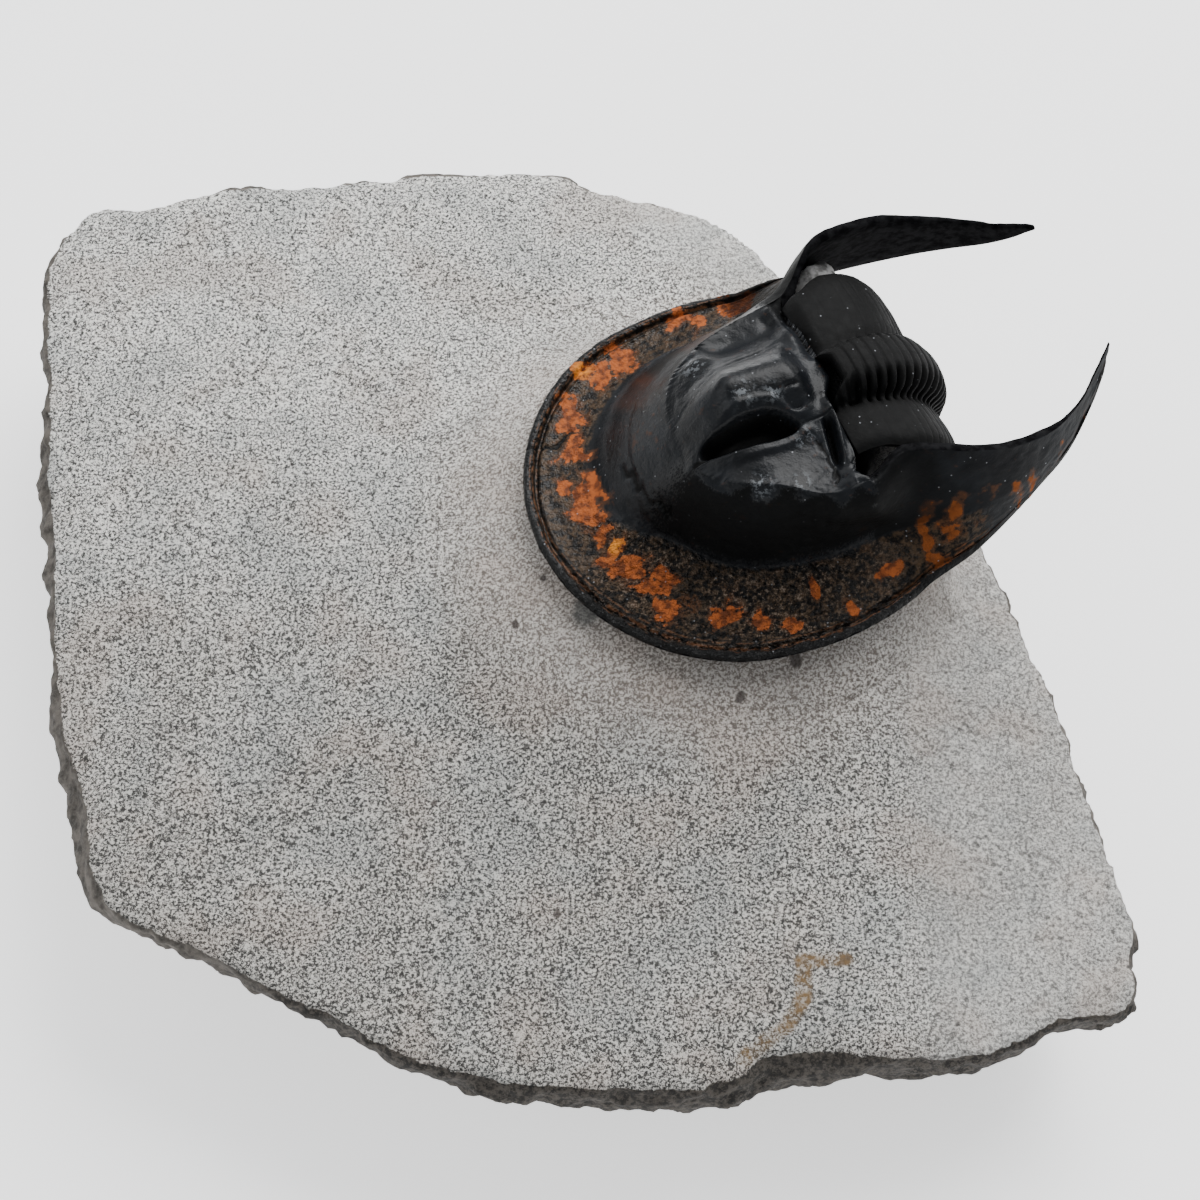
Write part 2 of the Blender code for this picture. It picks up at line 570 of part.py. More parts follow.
def make_bed_rock():
    """The rock that the thorax is rolled round: a lying half cylinder."""
    mesh = bmesh.new()
    bmesh.ops.create_cone(
        mesh, cap_ends=True, segments=40, radius1=BED_RADIUS * MM, radius2=BED_RADIUS * MM,
        depth=2 * BED_HALF_WIDTH * MM,
    )
    bmesh.ops.rotate(mesh, verts=mesh.verts, matrix=Matrix.Rotation(math.pi / 2, 3, "X"))
    axis = Vector((ROLL_AXIS[0] * MM, 0, ROLL_AXIS[1] * MM))
    bmesh.ops.translate(mesh, verts=mesh.verts, vec=axis)
    everything = mesh.verts[:] + mesh.edges[:] + mesh.faces[:]
    cut = bmesh.ops.bisect_plane(
        mesh, geom=everything, plane_co=(BED_FRONT * MM, 0, 0), plane_no=(1, 0, 0),
        clear_inner=True,
    )
    edges = [item for item in cut["geom_cut"] if isinstance(item, bmesh.types.BMEdge)]
    bmesh.ops.edgeloop_fill(mesh, edges=edges)
    return laid_on_slab(made(mesh, "bed rock"))


def make_block(name, low, high):
    """A box given by two corners in the animal's axes."""
    mesh = bmesh.new()
    bmesh.ops.create_cube(mesh, size=1.0)
    for vertex in mesh.verts:
        for axis in range(3):
            share = vertex.co[axis] + 0.5
            vertex.co[axis] = (low[axis] + (high[axis] - low[axis]) * share) * MM
    return laid_on_slab(made(mesh, name))


def make_web_rock(side):
    """Rock left between a horn's base and the thorax."""
    skin = Skin()
    skin.side = side
    rows = []
    for place, top in WEB_TOPS:
        rim, foot, crest = inner_row(place, FIT_GAP)[:3]
        peak = mix(foot, crest, (top - foot[2]) / (crest[2] - foot[2]))
        rows.append([
            (rim[0], WEB_INSIDE, ROCK_ROOT), (rim[0], WEB_INSIDE, top - WEB_SHOULDER), peak, foot,
            rim, (rim[0], rim[1] - WEB_RIM_INSET, ROCK_ROOT),
        ])
    for row, following in zip(rows, rows[1:]):
        skin.strip(row + row[:1], following + following[:1])
    skin.face(rows[0])
    skin.face(rows[-1])
    return skin.made("web rock")


def add_rock(matrix, pieces, helpers):
    """Unions the rock under the animal into the slab."""
    for piece in pieces:
        helpers.objects.link(piece)
        piece.hide_render = True
        piece.hide_set(True)
        modifier = matrix.modifiers.new(piece.name, "BOOLEAN")
        modifier.operation = "UNION"
        modifier.solver = "EXACT"
        modifier.object = piece


def painted(obj, colour, roughness):
    material = bpy.data.materials.new(obj.name)
    material.use_nodes = True
    shader = material.node_tree.nodes["Principled BSDF"]
    shader.inputs["Base Color"].default_value = (*colour, 1)
    shader.inputs["Roughness"].default_value = roughness
    obj.data.materials.append(material)
    return obj


def main():
    for obj in list(bpy.data.objects):
        bpy.data.objects.remove(obj)
    parts = bpy.data.collections.new(COLLECTION)
    helpers = bpy.data.collections.new("rock helpers")
    bpy.context.scene.collection.children.link(parts)
    bpy.context.scene.collection.children.link(helpers)

    matrix = painted(make_slab(), (0.36, 0.35, 0.33), 0.9)
    shell = (0.02, 0.021, 0.024)
    nodes = [matrix, painted(make_cephalon(), shell, 0.3), painted(make_thorax(), shell, 0.3)]
    nodes.append(painted(make_pygidium(), shell, 0.3))
    for node in nodes:
        parts.objects.link(node)
    rock = [make_vault_rock(), make_block("rear fill", *REAR_FILL), make_bed_rock()]
    add_rock(matrix, rock + [make_web_rock(1), make_web_rock(-1)], helpers)


main()
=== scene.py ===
# %% [markdown]
# # A harpid trilobite on its limestone slab
#
# A harpid is a trilobite whose head shield spreads into a wide brim and runs back in two long
# horns. This one was freed from grey limestone by hand, so the black shell stands proud on a low
# pedestal, and its body is rolled down behind the head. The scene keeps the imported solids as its
# frame and replaces each with a detailed piece in the same place: the slab, the head, the ribbed
# thorax and the small tail.

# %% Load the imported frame
import math

import bpy
import numpy as np
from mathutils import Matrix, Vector, noise


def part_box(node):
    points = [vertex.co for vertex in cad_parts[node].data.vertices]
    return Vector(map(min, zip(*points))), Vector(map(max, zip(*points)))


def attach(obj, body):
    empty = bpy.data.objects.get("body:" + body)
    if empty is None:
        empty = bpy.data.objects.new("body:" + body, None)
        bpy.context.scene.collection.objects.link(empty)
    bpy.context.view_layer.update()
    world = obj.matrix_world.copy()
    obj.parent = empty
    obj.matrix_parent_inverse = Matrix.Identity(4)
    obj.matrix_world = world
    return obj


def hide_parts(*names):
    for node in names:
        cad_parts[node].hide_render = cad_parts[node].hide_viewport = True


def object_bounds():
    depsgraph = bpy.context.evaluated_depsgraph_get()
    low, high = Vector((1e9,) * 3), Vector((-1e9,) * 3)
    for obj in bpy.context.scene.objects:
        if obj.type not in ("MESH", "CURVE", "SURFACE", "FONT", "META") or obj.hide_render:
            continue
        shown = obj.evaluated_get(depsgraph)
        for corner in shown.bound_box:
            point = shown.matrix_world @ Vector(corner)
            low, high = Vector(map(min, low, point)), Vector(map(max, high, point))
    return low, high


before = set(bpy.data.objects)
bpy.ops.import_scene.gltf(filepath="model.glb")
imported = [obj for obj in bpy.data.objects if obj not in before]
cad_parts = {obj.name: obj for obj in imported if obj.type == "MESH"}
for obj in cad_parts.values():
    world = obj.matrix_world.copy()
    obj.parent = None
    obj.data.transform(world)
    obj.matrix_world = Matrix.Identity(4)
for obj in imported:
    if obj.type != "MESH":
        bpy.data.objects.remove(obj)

cad_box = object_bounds()


def select_only(chosen):
    """Selects these objects and nothing else, with the first of them active."""
    for obj in bpy.context.selected_objects:
        obj.select_set(False)
    for obj in chosen:
        obj.select_set(True)
    if chosen:
        bpy.context.view_layer.objects.active = chosen[0]


select_only([])
print("the frame holds", ", ".join(sorted(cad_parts)))

# %% [markdown]
# ## The animal's own axes
#
# A shell is easier to describe along the animal than along the slab. So a runs back from the front
# of the brim, l runs out to the right side, and d runs up from the plane of the brim's edge, all in
# millimetres. One function turns such points into the scene's metres, and one turns them back.

# %% Axes
MM = 0.001
HEAD_FRONT = (-1.2, 0.6)           # where the front of the brim lies, mm
HEAD_TURN = math.radians(23.7)     # how far the animal is turned from the X axis
BRIM_PLANE = 21.0                  # height of the brim's edge above the table, mm
COS, SIN = math.cos(HEAD_TURN), math.sin(HEAD_TURN)


def to_scene(points):
    a, l, d = points[:, 0], points[:, 1], points[:, 2]
    x = HEAD_FRONT[0] + COS * a + SIN * l
    y = HEAD_FRONT[1] + SIN * a - COS * l
    return np.stack([x, y, BRIM_PLANE + d], 1) * MM


def to_animal(points):
    x = points[:, 0] / MM - HEAD_FRONT[0]
    y = points[:, 1] / MM - HEAD_FRONT[1]
    return np.stack([COS * x + SIN * y, SIN * x - COS * y, points[:, 2] / MM - BRIM_PLANE], 1)


low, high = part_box("cephalon")
print("the head spans", [round((h - l) / MM, 1) for l, h in zip(low, high)], "mm")

# %% [markdown]
# ## Camera, floor and light
#
# The specimen is seen from well above, a little over its right horn, through a longish lens that
# keeps the slab's edges straight. A large soft lamp high behind the right shoulder gives the
# faint shadow at the lower left. Two weaker lamps and the sky fill the rest, over a pale floor.

# %% Camera and stage
CAMERA_PLACE = (0.003263, -0.105980, 0.198195)
CAMERA_TILT = math.radians(30)

bpy.ops.object.camera_add(location=CAMERA_PLACE, rotation=(CAMERA_TILT, 0, 0))
camera = bpy.context.object
camera.data.lens = 85
camera.data.sensor_width = 36
camera.data.clip_start = 0.005
bpy.context.scene.camera = camera

FLOOR_SIDE = 3.0                   # metres
SKY_STRENGTH = 0.4

bpy.ops.mesh.primitive_plane_add(size=FLOOR_SIDE, location=(0, 0, 0))
floor = bpy.context.object
floor.name = "floor"


def lamp(name, place, target, size, watts, colour=(1, 1, 1)):
    """A square soft lamp that faces its target."""
    bpy.ops.object.light_add(type="AREA", location=place)
    light = bpy.context.object
    light.name = name
    light.data.size = size
    light.data.energy = watts
    light.data.color = colour
    way = Vector(target) - Vector(place)
    light.rotation_euler = way.to_track_quat("-Z", "Y").to_euler()
    return light


lamp("key light", (0.20, 0.27, 0.40), (0.0, 0.0, 0.01), 0.42, 3.8)
lamp("back light", (-0.10, 0.34, 0.46), (0.0, 0.0, 0.02), 0.65, 1.4)
lamp("left light", (-0.45, -0.05, 0.38), (0.0, 0.0, 0.01), 0.35, 0.7)
world = bpy.data.worlds.new("soft sky")
world.use_nodes = True
sky = world.node_tree.nodes["Background"]
sky.inputs["Color"].default_value = (0.92, 0.96, 1.0, 1)
sky.inputs["Strength"].default_value = SKY_STRENGTH
bpy.context.scene.world = world
print("camera, floor and", len(bpy.data.lights), "lamps are set")

# %% [markdown]
# ## Small tools for shaping
#
# Most of the shell is a sheet: a flat grid whose points are laid on a form, as cloth is laid on a
# mould. The form is a plain function of two shares, so it can be as fine as the relief needs. The
# helpers below work on whole arrays of points at once, which keeps the script quick.

# %% Shaping helpers
def smooth(value):
    """0 below 0, 1 above 1, and an even slope between."""
    value = np.clip(value, 0.0, 1.0)
    return value * value * (3 - 2 * value)


def hump(distance, width):
    """1 at no distance, dying away over the width."""
    return np.exp(-((distance / width) ** 2))


def curve(rail, place):
    """A smooth curve through a rail's points; place counts its stations."""
    rail = np.array(rail, float)
    place = np.asarray(place, float)
    first = np.clip(place.astype(int), 0, len(rail) - 2)
    t = (place - first)[:, None]
    p0, p1 = rail[np.maximum(first - 1, 0)], rail[first]
    p2, p3 = rail[first + 1], rail[np.minimum(first + 2, len(rail) - 1)]
    bend = (2 * p0 - 5 * p1 + 4 * p2 - p3) * t * t + (3 * p1 - p0 - 3 * p2 + p3) * t ** 3
    return p1 + 0.5 * ((p2 - p0) * t + bend)


def clouds(points, size, octaves=3, seed=0.0):
    """Fractal noise, about -1 to 1, whose largest blots are size mm across."""
    shift = Vector((seed * 7.31, seed * 3.17, seed * 5.77))
    scaled = points / size
    return np.array([noise.fractal(Vector(p) + shift, 1.0, 2.0, octaves) for p in scaled])


def read_points(obj):
    """The piece's points as rows of x, y, z in metres."""
    flat = np.empty(len(obj.data.vertices) * 3)
    obj.data.vertices.foreach_get("co", flat)
    return flat.reshape(-1, 3)


def write_points(obj, points):
    obj.data.vertices.foreach_set("co", points.astype(np.float32).ravel())
    obj.data.update()


def normals(obj):
    flat = np.empty(len(obj.data.vertices) * 3)
    obj.data.vertex_normals.foreach_get("vector", flat)
    return flat.reshape(-1, 3)


def paint(obj, name, values):
    """Stores one number per point, which a material can read by name."""
    layer = obj.data.attributes.new(name, "FLOAT", "POINT")
    layer.data.foreach_set("value", np.clip(values, 0, 1).astype(np.float32))


def draped_grid(rows, columns, form, across=None, amount=None):
    """A flat grid laid on a form, which takes two arrays of shares from 0 to 1.

    across names a paint that holds each point's second share, or one amount all over.
    """
    bpy.ops.mesh.primitive_grid_add(x_subdivisions=rows, y_subdivisions=columns, size=2)
    sheet = bpy.context.object
    shares = (read_points(sheet)[:, :2] + 1) / 2
    write_points(sheet, to_scene(form(shares[:, 0], shares[:, 1])))
    if across:
        paint(sheet, across, shares[:, 1] if amount is None else np.full(len(shares), amount))
    return sheet


SEAM, SLIVER = 0.000004, 0.0000005   # points and edges nearer than this are merged, metres


def sewn(sheets, name):
    """Joins sheets that share edges into one closed piece that faces outwards."""
    select_only(sheets)
    bpy.ops.object.join()
    piece = bpy.context.object
    piece.name = name
    bpy.ops.object.mode_set(mode="EDIT")
    bpy.ops.mesh.select_all(action="SELECT")
    bpy.ops.mesh.remove_doubles(threshold=SEAM)
    bpy.ops.mesh.dissolve_degenerate(threshold=SLIVER)
    bpy.ops.mesh.normals_make_consistent(inside=False)
    bpy.ops.object.mode_set(mode="OBJECT")
    bpy.ops.object.shade_smooth()
    return piece


def finished(piece, kind, **settings):
    """Adds a modifier and applies it."""
    bpy.context.view_layer.objects.active = piece
    modifier = piece.modifiers.new(kind.lower(), kind)
    for key, value in settings.items():
        setattr(modifier, key, value)
    bpy.ops.object.modifier_apply(modifier=modifier.name)
    return piece


def told(piece):
    """Prints what a piece holds, and hands it on."""
    triangles = sum(len(face.vertices) - 2 for face in piece.data.polygons)
    print(f"{piece.name}: {len(piece.data.vertices)} points, {triangles} triangles")
    return piece


# %% [markdown]
# ## The head shield: its rails
#
# The head is one shell: a flat brim with a rolled edge, a steep vault that rises from it, and two
# horns that are the brim's own ends, drawn back and turned up on edge. Four rails hold the whole
# form, each a list of stations from the front of the head round to the tip of the horn: the rim,
# the foot of the vault, the vault's crest, and the hind border where the thorax begins.

# %% Head rails
RIM = [
    (0.0, 0.0, 0.0), (0.6, 4.1, 0.0), (2.4, 8.2, 0.0), (5.6, 12.0, 0.0), (10.2, 14.7, 0.0),
    (15.7, 15.7, 0.0), (19.8, 15.5, 0.0), (22.8, 14.9, 0.1),
    (24.6, 14.5, 0.9), (27.0, 13.8, 1.4), (30.6, 12.7, 2.4), (34.5, 11.2, 3.6),
    (37.6, 9.8, 4.5), (40.0, 8.2, 5.8), (41.6, 6.8, 7.5), (42.4, 5.7, 9.5),
]
FOOT = [
    (8.2, 0.0, 1.2), (8.5, 2.4, 1.2), (9.6, 4.9, 1.2), (11.7, 7.4, 1.3), (14.4, 9.0, 1.5),
    (17.4, 9.9, 1.9), (20.2, 10.3, 2.4), (22.4, 10.6, 3.4),
    (23.8, 11.2, 4.2), (26.8, 12.1, 5.5), (30.8, 12.1, 6.0), (34.7, 11.0, 6.1),
    (37.9, 9.5, 6.4), (40.2, 7.9, 7.3), (41.7, 6.5, 8.5), (42.4, 5.7, 9.5),
]
CREST = [
    (10.3, 0.0, 8.6), (10.5, 1.9, 8.6), (11.3, 3.9, 8.7), (12.9, 5.8, 9.2), (15.2, 7.1, 9.6),
    (18.0, 7.9, 9.7), (20.6, 8.2, 9.8), (22.6, 8.3, 10.1),
    (24.4, 8.6, 10.2), (26.6, 9.8, 11.1), (31.0, 10.85, 10.3), (34.9, 10.3, 9.1),
    (38.2, 8.9, 8.6), (40.3, 7.4, 8.8), (41.8, 6.2, 9.4), (42.4, 5.7, 9.5),
]
BORDER = [
    (22.3, 0.0, 10.8), (22.3, 1.2, 10.7), (22.25, 2.4, 10.4), (22.2, 3.7, 10.2),
    (22.2, 5.0, 10.1), (22.2, 6.2, 10.1), (22.3, 7.3, 10.1), (22.6, 8.3, 10.1),
]
CORNER, TIP = len(BORDER) - 1, len(RIM) - 1
HEAD_ROWS, HORN_ROWS, SKIRT_COLUMNS, VAULT_COLUMNS = 196, 112, 96, 52
FLANK = [(0, 0), (0.12, 0.3), (0.26, 0.6), (0.52, 0.86), (1, 1)]
GENTLE_FLANK = [(0, 0), (0.22, 0.10), (0.45, 0.36), (0.7, 0.72), (1, 1)]
print("stations round one side:", len(RIM))

# %% [markdown]
# ## The head shield: brim and flank
#
# From the rim inwards the brim has a rounded roll, a narrow groove, a fine ridge, and then a dished
# band up to the foot of the vault. Beyond the foot the flank rises steeply and rounds over into the
# crest; at the front and front left it only swells gently. On the horns the same sheet carries on,
# but its band grows narrow and stands up. Lofting this sheet between the rails is surer than
# carving it out of a block.

# %% Brim and flank
ROLL_RADIUS, ROLL_HEIGHT = 0.42, 0.38     # of the rim's roll, mm
BRIM_DISH = 0.3                           # how far the band between rim and foot sags, mm
ACROSS_POWER = 1.25                       # crowds the skirt's points towards the rim
FRONT_FOOT = np.array([0.38, 0.38, 0.75])   # how far the front's foot moves out to the rim


def brim_lift(inwards, width):
    """The brim's relief, mm, at a distance in from the rim: roll, groove, ridge and dish."""
    lift = ROLL_HEIGHT * np.sqrt(np.clip(1 - ((inwards - ROLL_RADIUS) / ROLL_RADIUS) ** 2, 0, 1))
    lift -= 0.22 * hump(inwards - 0.98, 0.15) - 0.12 * hump(inwards - 1.35, 0.15)
    return lift - BRIM_DISH * np.sin(np.pi * np.clip(inwards / width, 0, 1))


def skirt(place, share, side=1):
    """Rim to crest: share 0 to a half crosses the brim, and the rest climbs the flank."""
    rim, foot, crest = curve(RIM, place), curve(FOOT, place), curve(CREST, place)
    gentle = smooth((2.0 - place * side) / 3.0) * smooth((place * side + 6.5) / 2.5)
    foot = foot + (rim - foot) * FRONT_FOOT * gentle[:, None]
    across = np.clip(share * 2, 0, 1) ** ACROSS_POWER
    band = foot - rim
    width = np.linalg.norm(band[:, :2], axis=1) + 1e-6
    height = np.abs(band[:, 2])
    run = np.hypot(width, height)
    flat = 1 - 0.45 * smooth((place - CORNER) / 3)
    narrow = 1 - smooth((place - TIP + 2) / 2)
    points = rim + band * across[:, None]
    points[:, 2] += brim_lift(across * run, run) * flat * narrow * smooth(across * 40)
    steps = np.clip(share * 2 - 1, 0, 1) * (len(FLANK) - 1)
    climb = curve(FLANK, steps)
    climb += (curve(GENTLE_FLANK, steps) - climb) * gentle[:, None]
    upright = smooth((place - CORNER) / 1.5)
    inward = climb[:, 0] + (climb[:, 1] - climb[:, 0]) * upright
    flank = foot + (crest - foot) * inward[:, None]
    flank[:, 2] = foot[:, 2] + (crest[:, 2] - foot[:, 2]) * climb[:, 1]
    return np.where((share > 0.5)[:, None], flank, points)


# %% [markdown]
# ## The head shield: the vault
#
# The vault carries the glabella, the long hump over the stomach, with a furrow on each side, two
# eye lumps out on the cheeks, and a raised border at the back. In this specimen the right furrow
# has opened into a deep slot, the left one is only a fine line, and the border has broken away
# from the thorax on the right.

# %% Vault relief
LEFT_FURROW = [(10.6, -0.5), (11.5, -1.1), (14.8, -2.6), (16.9, -2.9), (18.9, -3.0), (20.3, -3.5)]
SLOT = [  # (a, l of its inner edge, l of its outer edge)
    (11.2, 2.6, 2.6), (11.6, 2.0, 3.0), (12.4, 1.7, 3.3), (13.4, 1.75, 3.6), (14.6, 1.8, 3.85),
    (16.3, 1.9, 4.05), (17.4, 2.2, 4.1), (18.2, 2.9, 4.05), (18.8, 3.6, 3.7),
]
SLOT_DEPTH, NECK_DEPTH = 2.5, 1.3  # mm
EYES = [(14.4, -5.1, 0.55), (14.8, 5.9, 0.25)]   # (a, l, rise)
EYE_RADIUS = 1.3                   # mm
RIGHT_BORDER_SHIFT = 0.8           # how far the right border stands forward of the left, mm


def forward_border(a, l):
    """The head's back edge, pushed forward on the right."""
    rear = smooth((a - 18.6) / 3.0)
    return a - RIGHT_BORDER_SHIFT * rear * smooth((l - 0.8) / 1.6) * smooth((8.1 - l) / 1.0)


def broad_form(a, l):
    """The vault's height, mm: the glabella, lower cheeks, and a level hind border."""
    out = np.abs(l)
    height = 12.1 - 2.9 * smooth(out / 5.6) + 0.4 * smooth((out - 5.6) / 2.2)
    height += 0.5 * hump(l - 5.3, 1.6)
    return height + (10.4 - height) * smooth((a - 19.0) / 3.2)


def vault_relief(a, l):
    """What stands above or below the broad form, mm."""
    # The fine left furrow with its soft slope, the glabella's ridge, and a dent in the left cheek.
    furrow = np.interp(a, *zip(*LEFT_FURROW))
    runs = smooth((a - 10.4) / 1.5) * (1 - smooth((a - 19.6) / 1.4)) * (l < 0)
    height = -runs * (0.14 * hump(l - furrow, 0.25) + 0.3 * hump(l - furrow + 0.5, 1.2))
    height += 0.35 * hump(a - 14.5, 3.5) * hump(l + 0.8, 1.3)
    height -= 0.25 * hump(a - 17.5, 1.6) * hump(l + 5.2, 1.2)
    # The deep slot in the right furrow, and the low swelling along its edges.
    stations, inner, outer = zip(*SLOT)
    depth_in = np.minimum(l - np.interp(a, stations, inner), np.interp(a, stations, outer) - l)
    height -= SLOT_DEPTH * smooth((depth_in + 0.05) / 0.6) * smooth((a - 10.9) / 1.6)
    height += 0.18 * hump(depth_in + 0.5, 0.35) * smooth((a - 12) / 3) * (1 - smooth(a - 19))
    for eye_a, eye_l, rise in EYES:
        height += rise * hump(np.hypot(a - eye_a, l - eye_l), EYE_RADIUS)
    # The neck furrow: on the right a narrow slot with a ridge behind it, on the left a soft dip.
    on_right = smooth((l - 2.0) / 1.5)
    neck = 20.9 - 0.2 * np.clip(l - 4.3, 0, 4)
    height -= NECK_DEPTH * on_right * hump(a - neck + 0.3, 0.24) * smooth((l - 3.6) / 0.8) * (l < 8.6)
    height += 0.45 * on_right * hump(a - neck - 0.25, 0.3)
    height -= 0.35 * (1 - on_right) * hump(a - 20.7, 0.6) * (1 - smooth((np.abs(l) - 5.8) / 1.4))
    # The left border sinks towards the thorax, and a curved scratch lies beside the slot.
    height -= 0.8 * smooth((a - 21.2) / 1.1) * smooth((-l - 0.5) / 1.5)
    return height - 0.22 * hump(np.hypot(a - 19.0, l - 1.9) - 0.75, 0.13) * (a < 19.4)


def vault(place, share, side, lower=0.0):
    """Crest to border, before the relief; lower gives the hidden inner face."""
    crest, border = curve(CREST, place), curve(BORDER, place)
    plan = crest + (border - crest) * share[:, None]
    a, l = forward_border(plan[:, 0], plan[:, 1] * side), plan[:, 1]
    full = np.linalg.norm((border - crest)[:, :2], axis=1)
    reach = np.minimum(3.5, 0.6 * full) + 1e-6
    form = broad_form(a, l)
    form += (crest[:, 2] - form) * smooth((place - CORNER + 1.2) / 1.2)
    height = crest[:, 2] + (form - crest[:, 2]) * smooth(share * full / reach)
    return np.stack([a, l, height - lower], 1)


# %% [markdown]
# ## The head shield: one closed shell
#
# Each side has a skirt round the head, a skirt along the horn and the vault, and inside them a
# coarser lining for what is hidden. Their shared edges meet point for point, so merging by distance
# sews them into one shell. Burial bent the two sides unlike each other, so the points are pushed
# out of true before they are placed.

# %% Head shell
THICKNESS = {  # (inwards, down) from each rail, mm, on the head and on the horn
    "rim": ((0.5, 0.9), (0.45, 0.15)),
    "foot": ((1.2, 1.0), (0.9, 0.0)),
    "crest": ((1.1, 1.3), (0.75, 0.1)),
}
VAULT_DEPTH = 3.4


def spread(points):
    """The head as burial left it.

    The horns lean outwards, the front and the left cheek are pressed down, and the right rear
    corner of the vault stands out.
    """
    a, l, d = points[:, 0], points[:, 1], points[:, 2]
    right = 0.5 * smooth((a - 24.0) / 5.0) * (1 - 0.45 * smooth((a - 36.0) / 5.0))
    left = 0.55 * hump(a - 26.2, 2.8) * smooth((d - 4.0) / 4.0)
    high = smooth((d - 2.5) / 5.0)
    cheek = high * smooth((-l - 3.0) / 4.0) * smooth((a - 9.0) / 5.0)
    cheek *= 1 - smooth((a - 22.4) / 2.4)
    front = high * smooth((14.5 - a) / 4.0) * smooth((4.0 - l) / 3.5)
    aside = np.where(l > 0, right, 0) - np.where(l < 0, left, 0)
    rear = smooth((a - 14.5) / 6.0) * (1 - smooth((a - 22.6) / 2.0))
    rear *= smooth((l - 3.5) / 3.5) * smooth((d - 4.5) / 4.0)
    corner = rear * smooth((l - 5.6) / 2.6)
    return np.stack([a + 0.6 * front - 1.1 * corner, l + aside + 0.8 * cheek + 1.25 * rear,
                     d - 1.0 * cheek - 0.9 * front - 0.4 * rear], 1)


def lining_point(place, rail, name):
    """The inner face's point for a rail's point."""
    point, rim, crest = curve(rail, place), curve(RIM, place), curve(CREST, place)
    way = crest[:, :2] - rim[:, :2]
    way = way / (np.linalg.norm(way, axis=1)[:, None] + 1e-9)
    way[:, 1] *= np.where(place < 0.001, 0, 1)
    horn = smooth((place - CORNER) / 1.5)[:, None]
    depth = np.array(THICKNESS[name][0]) * (1 - horn) + np.array(THICKNESS[name][1]) * horn
    depth = depth * (1 - 0.55 * smooth((place - CORNER - 2) / 6))[:, None]
    depth = depth * (1 - smooth((place - TIP + 0.3) / 0.3))[:, None]
    inner = point.copy()
    inner[:, :2] += way * depth[:, :1]
    inner[:, 1] = np.maximum(inner[:, 1], 0)
    inner[:, 2] -= depth[:, 1]
    return inner


def between(stops, at, share):
    """A straight run through several stops."""
    result = stops[0].copy()
    for k in range(len(stops) - 1):
        t = np.clip((share - at[k]) / (at[k + 1] - at[k]), 0, 1)[:, None]
        inside = (share > at[k])[:, None]
        result = np.where(inside, stops[k] + (stops[k + 1] - stops[k]) * t, result)
    return result


def lining(place, share):
    """Rim, inner rim, inner foot, inner crest."""
    stops = [skirt(place, np.zeros_like(place))]
    stops += [lining_point(place, rail, name)
              for rail, name in ((RIM, "rim"), (FOOT, "foot"), (CREST, "crest"))]
    return between(stops, [0, 1 / 8, 5 / 8, 1], share)


def vault_lining(place, share, side):
    """Inner crest, along under the vault, up the back edge to the border."""
    start = lining_point(place, CREST, "crest")
    inner = vault(place, np.clip(share * 8 / 7, 0, 1), side, VAULT_DEPTH)
    inner[:, 2] = np.minimum(inner[:, 2], start[:, 2])
    joined = start + (inner - start) * smooth(share * 3)[:, None]
    shut = smooth((place - CORNER + 0.5) / 0.5)[:, None]
    joined = joined + (start - joined) * shut
    last = vault(place, np.ones_like(place), side)
    rise = np.clip(share * 8 - 7, 0, 1)[:, None]
    return joined + (last - joined) * rise


# %% Sew the head
LINING_COLUMNS = 8


def head_side(side):
    """The seven sheets of one side of the head: 1 is its right, -1 its left."""
    def laid(form):
        return lambda u, v: spread(form(u, v) * np.array([1.0, side, 1.0]))

    def round_head(form):
        return laid(lambda u, v: form(u * CORNER, v))

    def along_horn(form):
        return laid(lambda u, v: form(CORNER + u * (TIP - CORNER), v))

    def outer(place, share):
        return skirt(place, share, side)

    def lip(place, share):
        """The horn's upper edge, from its outer crest over to its inner one."""
        start, end = skirt(place, np.ones_like(place)), lining_point(place, CREST, "crest")
        return start + (end - start) * share[:, None]

    def top(place, share):
        return vault(place, share, side)

    def under_top(place, share):
        return vault_lining(place, share, side)

    return [
        draped_grid(HEAD_ROWS, SKIRT_COLUMNS, round_head(outer), "across"),
        draped_grid(HORN_ROWS, SKIRT_COLUMNS, along_horn(outer), "across"),
        draped_grid(HEAD_ROWS, VAULT_COLUMNS, round_head(top), "top"),
        draped_grid(HEAD_ROWS, LINING_COLUMNS, round_head(lining), "inner", 1.0),
        draped_grid(HORN_ROWS, LINING_COLUMNS, along_horn(lining), "inner", 1.0),
        draped_grid(HEAD_ROWS, LINING_COLUMNS, round_head(under_top)),
        draped_grid(HORN_ROWS, 1, along_horn(lip), "inner", 1.0),
    ]


head = told(sewn(head_side(1) + head_side(-1), "head_shield"))

# %% [markdown]
# ## The head shield: rounding and carving
#
# Where the flank meets the vault the two sheets make an edge, and a living head has none. So the
# points near the crest are relaxed many times, as wax softens, and only then is the fine relief
# pressed into the vault. The front is relaxed most. Towards the corners the edge stays, because
# there it runs into the horns, and only the right horn's root is softened too.

# %% Rounding and carving
def read_paint(obj, name):
    values = np.empty(len(obj.data.vertices))
    obj.data.attributes[name].data.foreach_get("value", values)
    return values


def relaxed(obj, weights, iterations):
    """Softens a piece where its weights are above zero."""
    group = obj.vertex_groups.new(name="soft")
    for level in range(1, 11):
        chosen = np.nonzero(np.round(weights * 10) == level)[0]
        group.add([int(i) for i in chosen], level / 10, "REPLACE")
    finished(obj, "SMOOTH", factor=0.5, iterations=iterations, vertex_group="soft")
    obj.vertex_groups.clear()


